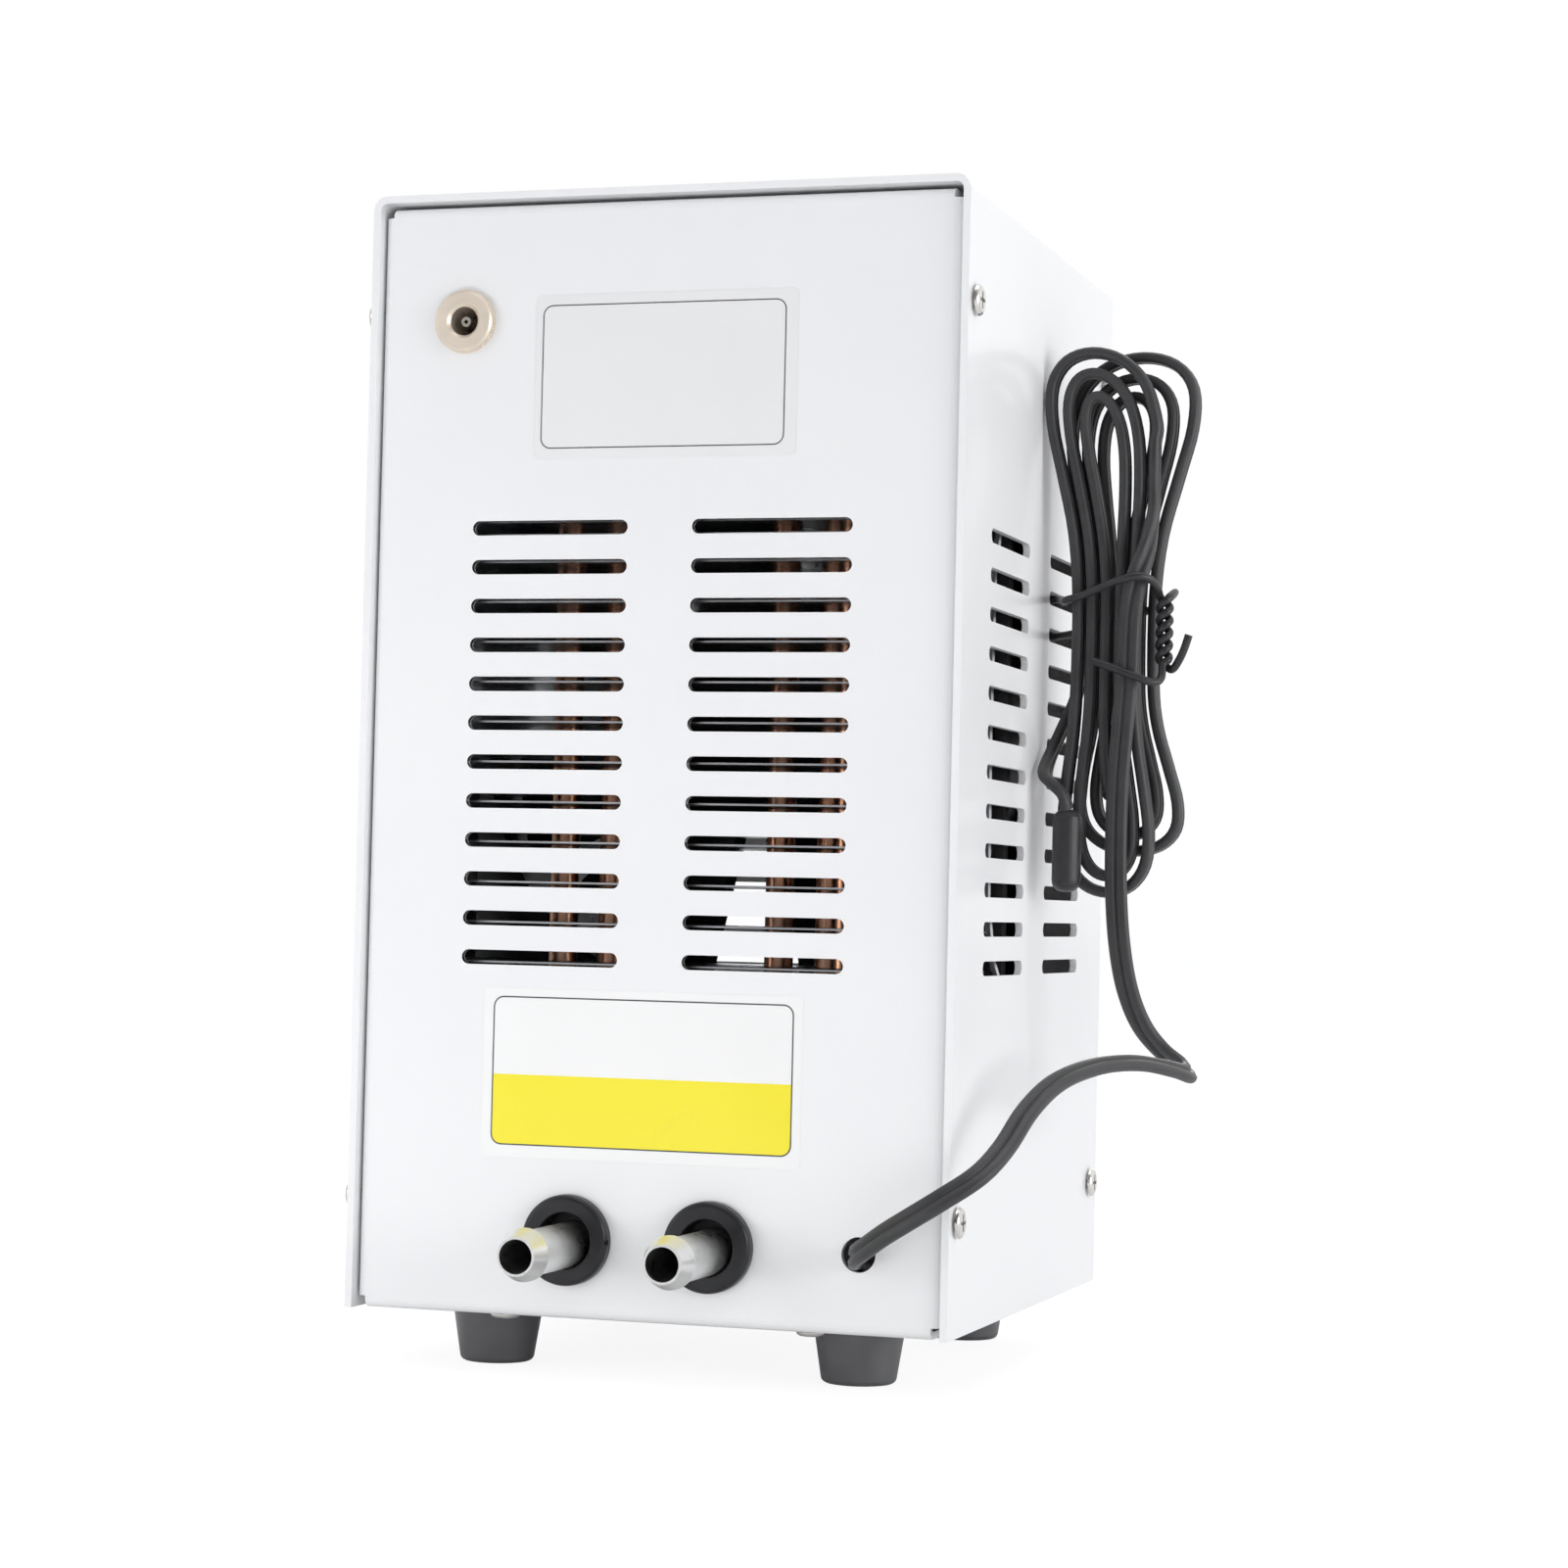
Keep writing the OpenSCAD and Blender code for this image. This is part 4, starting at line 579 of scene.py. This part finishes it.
def make_cord(finishes):
    run = smooth_line(RUN_POINTS, RUN_STEPS)
    line = run + smooth_line([RUN_POINTS[-1]] + hank_points(), HANK_STEPS)[1:]
    sides = flat_cord_sides(line, len(run))
    cord = tube("sensor_cord", line, sides, twin_outline(), finishes["cord_rubber"])
    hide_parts("probe_cord", "probe_hank")
    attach(cord, CASE)
    length = sum((b - a).length for a, b in zip(line, line[1:])) / 1000
    return cord, [tuple(p / 1000) for p in line], length


# ---------------------------------------------------------------- the hank's twisted tie
# The pair of strands that climb round each other: its middle, its radius, its ends and turns
PAIR_X, PAIR_Y, PAIR_R = 91.25, 11.3, 1.1
PAIR_LOW, PAIR_HIGH, PAIR_TURNS, PAIR_STEPS = 149.5, 164, 2.75, 17
TIE_R, TIE_PARTS, TIE_STEPS = 0.85, 12, 5
TIE_SIDE = (0.31, 0.52, 0.8)  # a direction that the tie never follows
# The wire's start in front of the hank, its way round the hank and through two slots of the
# cover, and its free end
TIE_FIRST = [
    (77.4, 5.9, 149.8), (82, 5.3, 148.2), (86.5, 5.3, 146.5), (89.8, 6.8, 145.4),
    (91.2, 8.8, 146.4)]
TIE_WRAP = [
    (90.1, 8, 165.7), (88.9, 5.2, 167.2), (86.4, 3.5, 167.6), (82.5, 3.5, 166.6), (78, 5.9, 165.2),
    (73.5, 8.6, 163.9), (70.2, 10.2, 163.2), (68.8, 14, 163.2), (67.4, 18.6, 163.9),
    (65.6, 23.4, 164.6), (63.2, 26.2, 164.7), (61.2, 26.7, 162.9), (61.1, 26.7, 160.7),
    (61.2, 26.7, 158.5), (63.2, 26.2, 156.7), (66, 24.4, 156.7), (70, 22.3, 157.2),
    (74.5, 21.7, 158.4), (80, 21.6, 160), (85.4, 21.6, 161.8), (89.2, 21, 163.6), (91.6, 18.4, 165),
    (92.6, 14.8, 165.2)]
TIE_LAST = [(92.9, 12, 148.5), (94.4, 11.6, 150.4), (95.6, 11.4, 153), (96.5, 11.3, 155.8)]


def pair_point(i, half):
    s = i / PAIR_STEPS
    a = math.radians(360 * (PAIR_TURNS * s + half) - 90)
    return (PAIR_X + PAIR_R * math.cos(a), PAIR_Y + PAIR_R * math.sin(a),
            PAIR_LOW + (PAIR_HIGH - PAIR_LOW) * s)


def make_tie(finishes):
    points = TIE_FIRST + [pair_point(i, 0) for i in range(PAIR_STEPS + 1)] + TIE_WRAP
    points += [pair_point(i, 0.5) for i in range(PAIR_STEPS, -1, -1)] + TIE_LAST
    line = smooth_line(points, TIE_STEPS)
    side, sides = Vector(TIE_SIDE), []
    for ahead in tangents(line):
        side = across(side, ahead)
        sides.append(side)
    angles = [math.radians(360 / TIE_PARTS * k) for k in range(TIE_PARTS)]
    ring = [(TIE_R * math.cos(a), TIE_R * math.sin(a)) for a in angles]
    tie = tube("hank_tie", line, sides, ring, finishes["tie_jacket"])
    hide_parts("twist_tie")
    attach(tie, CASE)
    return tie


# ---------------------------------------------------------------- bare stickers on the panel
FILM_CORNER, FILM_THICK, FILM_RIM = 1.2, 0.1, 0.03
PRINT_CORNER, PRINT_THICK = 2.2, 0.12
CORNER_PARTS, RIM_PARTS = 6, 2


def sheet_plate(name, low, high, corner, finish):
    """A thin rounded plate on the panel, from a plane whose corners are bevelled"""
    clear_selection()
    middle = metres((low[0] + high[0]) / 2, PANEL_Y, (low[1] + high[1]) / 2)
    bpy.ops.mesh.primitive_plane_add(size=1, location=middle, rotation=(math.pi / 2, 0, 0))
    piece = bpy.context.object
    piece.scale = ((high[0] - low[0]) / 1000, (high[1] - low[1]) / 1000, 1)
    settle(piece, name, finish)
    edit(piece, "VERT")
    bpy.ops.mesh.bevel(offset=corner / 1000, segments=CORNER_PARTS, affect="VERTICES")
    done()
    return piece


def thicken(piece, out, rim=0):
    """Gives the flat plate its thickness, outwards along Y, and softens its rim"""
    edit(piece)
    bpy.ops.mesh.extrude_region_move(TRANSFORM_OT_translate={"value": (0, out / 1000, 0)})
    bpy.ops.mesh.select_all(action="SELECT")
    bpy.ops.mesh.normals_make_consistent(inside=False)
    done()
    if rim:
        bevel = piece.modifiers.new("rim", "BEVEL")
        bevel.width = rim / 1000
        bevel.segments = RIM_PARTS
        bevel.limit_method = "ANGLE"
        only(piece)
        bpy.ops.object.modifier_apply(modifier="rim")


def make_sticker(name, film_box, print_box, line, film, ink, field, band=None):
    """A bare sticker: a film plate and on it the printed field inside a thin frame. The boxes are
    (low x, low z, high x, high z), and band is the height below which the field has a finish of
    its own, and that finish"""
    base = sheet_plate(name + "_film", film_box[:2], film_box[2:], FILM_CORNER, film)
    thicken(base, -FILM_THICK, FILM_RIM)
    face = sheet_plate(name, print_box[:2], print_box[2:], PRINT_CORNER, field)
    face.data.materials.append(ink)
    edit(face)
    bpy.ops.mesh.inset(thickness=line / 1000, use_even_offset=True)
    mesh = bmesh.from_edit_mesh(face.data)
    for f in mesh.faces:
        f.material_index = 0 if f.select else 1
    bmesh.update_edit_mesh(face.data)
    done()
    if band:
        height, finish = band
        face.data.materials.append(finish)
        edit(face)
        bpy.ops.mesh.bisect(plane_co=metres(0, 0, height), plane_no=(0, 0, 1))
        mesh = bmesh.from_edit_mesh(face.data)
        for f in mesh.faces:
            if f.material_index == 0 and f.calc_center_median().z < height / 1000:
                f.material_index = 2
        bmesh.update_edit_mesh(face.data)
        done()
    thicken(face, -PRINT_THICK)
    only(face)
    base.select_set(True)
    bpy.ops.object.join()
    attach(face, CASE)


def make_stickers(finishes):
    film, ink, white = (finishes[k] for k in ("film", "border_ink", "white_print"))
    make_sticker("rating_sticker", (-27.75, 186.8, 28.55, 220.6), (-26.35, 188.9, 25.95, 218.5),
                 0.26, film, ink, film)
    make_sticker("notice_sticker", (-35.45, 44.1, 32.75, 78.6), (-33.35, 46.6, 30.85, 76.9),
                 0.3, white, ink, white, band=(61.0, finishes["yellow_print"]))


# ---------------------------------------------------------------- marks on the display's buttons
MARK_THICK = 0.08
ARROW_CORNERS, ARROW_R, ARROW_ROUND, ARROW_PARTS = 3, 1.4, 0.25, 3
RING_CORNERS, RING_R, RING_WIDE = 24, 1.2, 0.45


def make_mark(name, node, body, corners, radius, turn, finishes):
    """A thin raised mark on a button's face: an arrowhead or a ring"""
    low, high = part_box(node)
    clear_selection()
    middle = ((low[0] + high[0]) / 2, high[1], (low[2] + high[2]) / 2)
    bpy.ops.mesh.primitive_circle_add(vertices=corners, radius=radius / 1000, fill_type="NGON",
                                      location=middle, rotation=(math.pi / 2, turn, 0))
    piece = bpy.context.object
    settle(piece, name, finishes["mark_paint"])
    edit(piece)
    if corners == ARROW_CORNERS:
        bpy.ops.mesh.select_mode(type="VERT")
        bpy.ops.mesh.bevel(offset=ARROW_ROUND / 1000, segments=ARROW_PARTS, affect="VERTICES")
        bpy.ops.mesh.select_mode(type="FACE")
    else:
        bpy.ops.mesh.inset(thickness=RING_WIDE / 1000)
        bpy.ops.mesh.delete(type="FACE")
    done()
    thicken(piece, MARK_THICK)
    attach(piece, body)


def make_marks(finishes):
    make_mark("set_mark", "set_button", "set_key", RING_CORNERS, RING_R, 0, finishes)
    make_mark("down_mark", "down_button", "down_key", ARROW_CORNERS, ARROW_R, math.pi, finishes)
    make_mark("up_mark", "up_button", "up_key", ARROW_CORNERS, ARROW_R, 0, finishes)


# ---------------------------------------------------------------- floor, backdrop and lamps
# Sizes and places here are in metres. The glow and its share are the floor's own white, as the
# camera sees it
FLOOR_SIZE = 40
FLOOR_GLOW, FLOOR_GLOW_SHARE = 1.14, 0.78
ROOM_LIGHT, REFLECTED_ROOM = 0.58, 0.95
DARK_WALL, DARK_WALL_AT, WHITE_WALL_AT = (0.22, 0.22, 0.23), 0.18, 0.62
MIDDLE = (0, 0, 0.12)
# Name, place, aim, width, height, power, and whether it shows in glossy pieces
SOFTBOXES = [
    ("key_softbox", (-1.15, -1.1, 0.4), MIDDLE, 0.8, 0.7, 4.4, True),
    ("low_softbox", (-0.08, -0.37, 0.02), (-0.02, -0.05, 0.02), 0.3, 0.03, 0.25, False),
    ("side_softbox", (1.3, -0.32, 0.3), MIDDLE, 1.1, 0.56, 8, True),
    ("top_softbox", (0.1, 0.1, 1.3), MIDDLE, 0.9, 0.9, 4, True),
    ("rear_softbox", (-0.4, 1.4, 0.5), MIDDLE, 0.8, 0.8, 7, True)]


def seen_by_camera(nodes, links, path):
    """1 for what the camera sees, straight or through a clear piece"""
    return worked_out(nodes, links, "MAXIMUM", path["Is Camera Ray"], path["Is Transmission Ray"])


def make_stage():
    clear_selection()
    bpy.ops.mesh.primitive_plane_add(size=FLOOR_SIZE, location=(0, 0, 0))
    floor = bpy.context.object
    floor.name = "floor"
    material, nodes, links, shader = new_material("pale_floor")
    shader.inputs["Base Color"].default_value = (0.86, 0.86, 0.86, 1)
    shader.inputs["Roughness"].default_value = 0.8
    shader.inputs["Specular IOR Level"].default_value = 0.1
    glow = nodes.new("ShaderNodeEmission")
    glow.inputs["Color"].default_value = (1, 1, 1, 1)
    glow.inputs["Strength"].default_value = FLOOR_GLOW
    seen = seen_by_camera(nodes, links, nodes.new("ShaderNodeLightPath").outputs)
    share = worked_out(nodes, links, "MULTIPLY", seen, FLOOR_GLOW_SHARE)
    floor_shader = mixed(nodes, links, share, shader.outputs["BSDF"], glow.outputs["Emission"])
    links.new(floor_shader, nodes["Material Output"].inputs["Surface"])
    floor.data.materials.append(material)


def background(nodes, colour, strength):
    backdrop = nodes.new("ShaderNodeBackground")
    backdrop.inputs["Color"].default_value = (*colour, 1)
    backdrop.inputs["Strength"].default_value = strength
    return backdrop


def make_world():
    """A plain light; white behind the object; and for glossy pieces a room that is white behind
    the object and darker on the camera's side"""
    world = bpy.data.worlds.new("studio")
    bpy.context.scene.world = world
    world.use_nodes = True
    nodes, links = world.node_tree.nodes, world.node_tree.links
    nodes.clear()
    path = nodes.new("ShaderNodeLightPath").outputs
    plain = background(nodes, (0.96, 0.97, 1.0), ROOM_LIGHT)
    bright = background(nodes, (1, 1, 1), 1)
    room = background(nodes, (1, 1, 1), REFLECTED_ROOM)
    depth = axes(nodes, links, coordinates(nodes, "Generated"))["Y"]
    share = worked_out(nodes, links, "MULTIPLY_ADD", depth, 0.5, 0.5)
    wall = tint(nodes, links, share, DARK_WALL, (1, 1, 1), DARK_WALL_AT, WHITE_WALL_AT)
    links.new(wall, room.inputs["Color"])
    lit = mixed(nodes, links, path["Is Glossy Ray"], plain.outputs[0], room.outputs[0])
    seen = seen_by_camera(nodes, links, path)
    whole = mixed(nodes, links, seen, lit, bright.outputs[0])
    links.new(whole, nodes.new("ShaderNodeOutputWorld").inputs["Surface"])


def softbox(name, place, aim, wide, tall, power, mirrored):
    clear_selection()
    bpy.ops.object.light_add(type="AREA", location=place)
    lamp = bpy.context.object
    lamp.name = name
    lamp.data.shape = "RECTANGLE"
    lamp.data.size, lamp.data.size_y = wide, tall
    lamp.data.energy = power
    lamp.visible_glossy = mirrored
    lamp.rotation_euler = (Vector(aim) - Vector(place)).to_track_quat("-Z", "Y").to_euler()


# ---------------------------------------------------------------- the scene
set_camera()
finishes = make_finishes()
cord, cord_path, cord_length = make_cord(finishes)
tie = make_tie(finishes)
dress_nodes(finishes)
make_stickers(finishes)
make_marks(finishes)
make_stage()
make_world()
for values in SOFTBOXES:
    softbox(*values)
bpy.context.scene.view_settings.view_transform = "Standard"
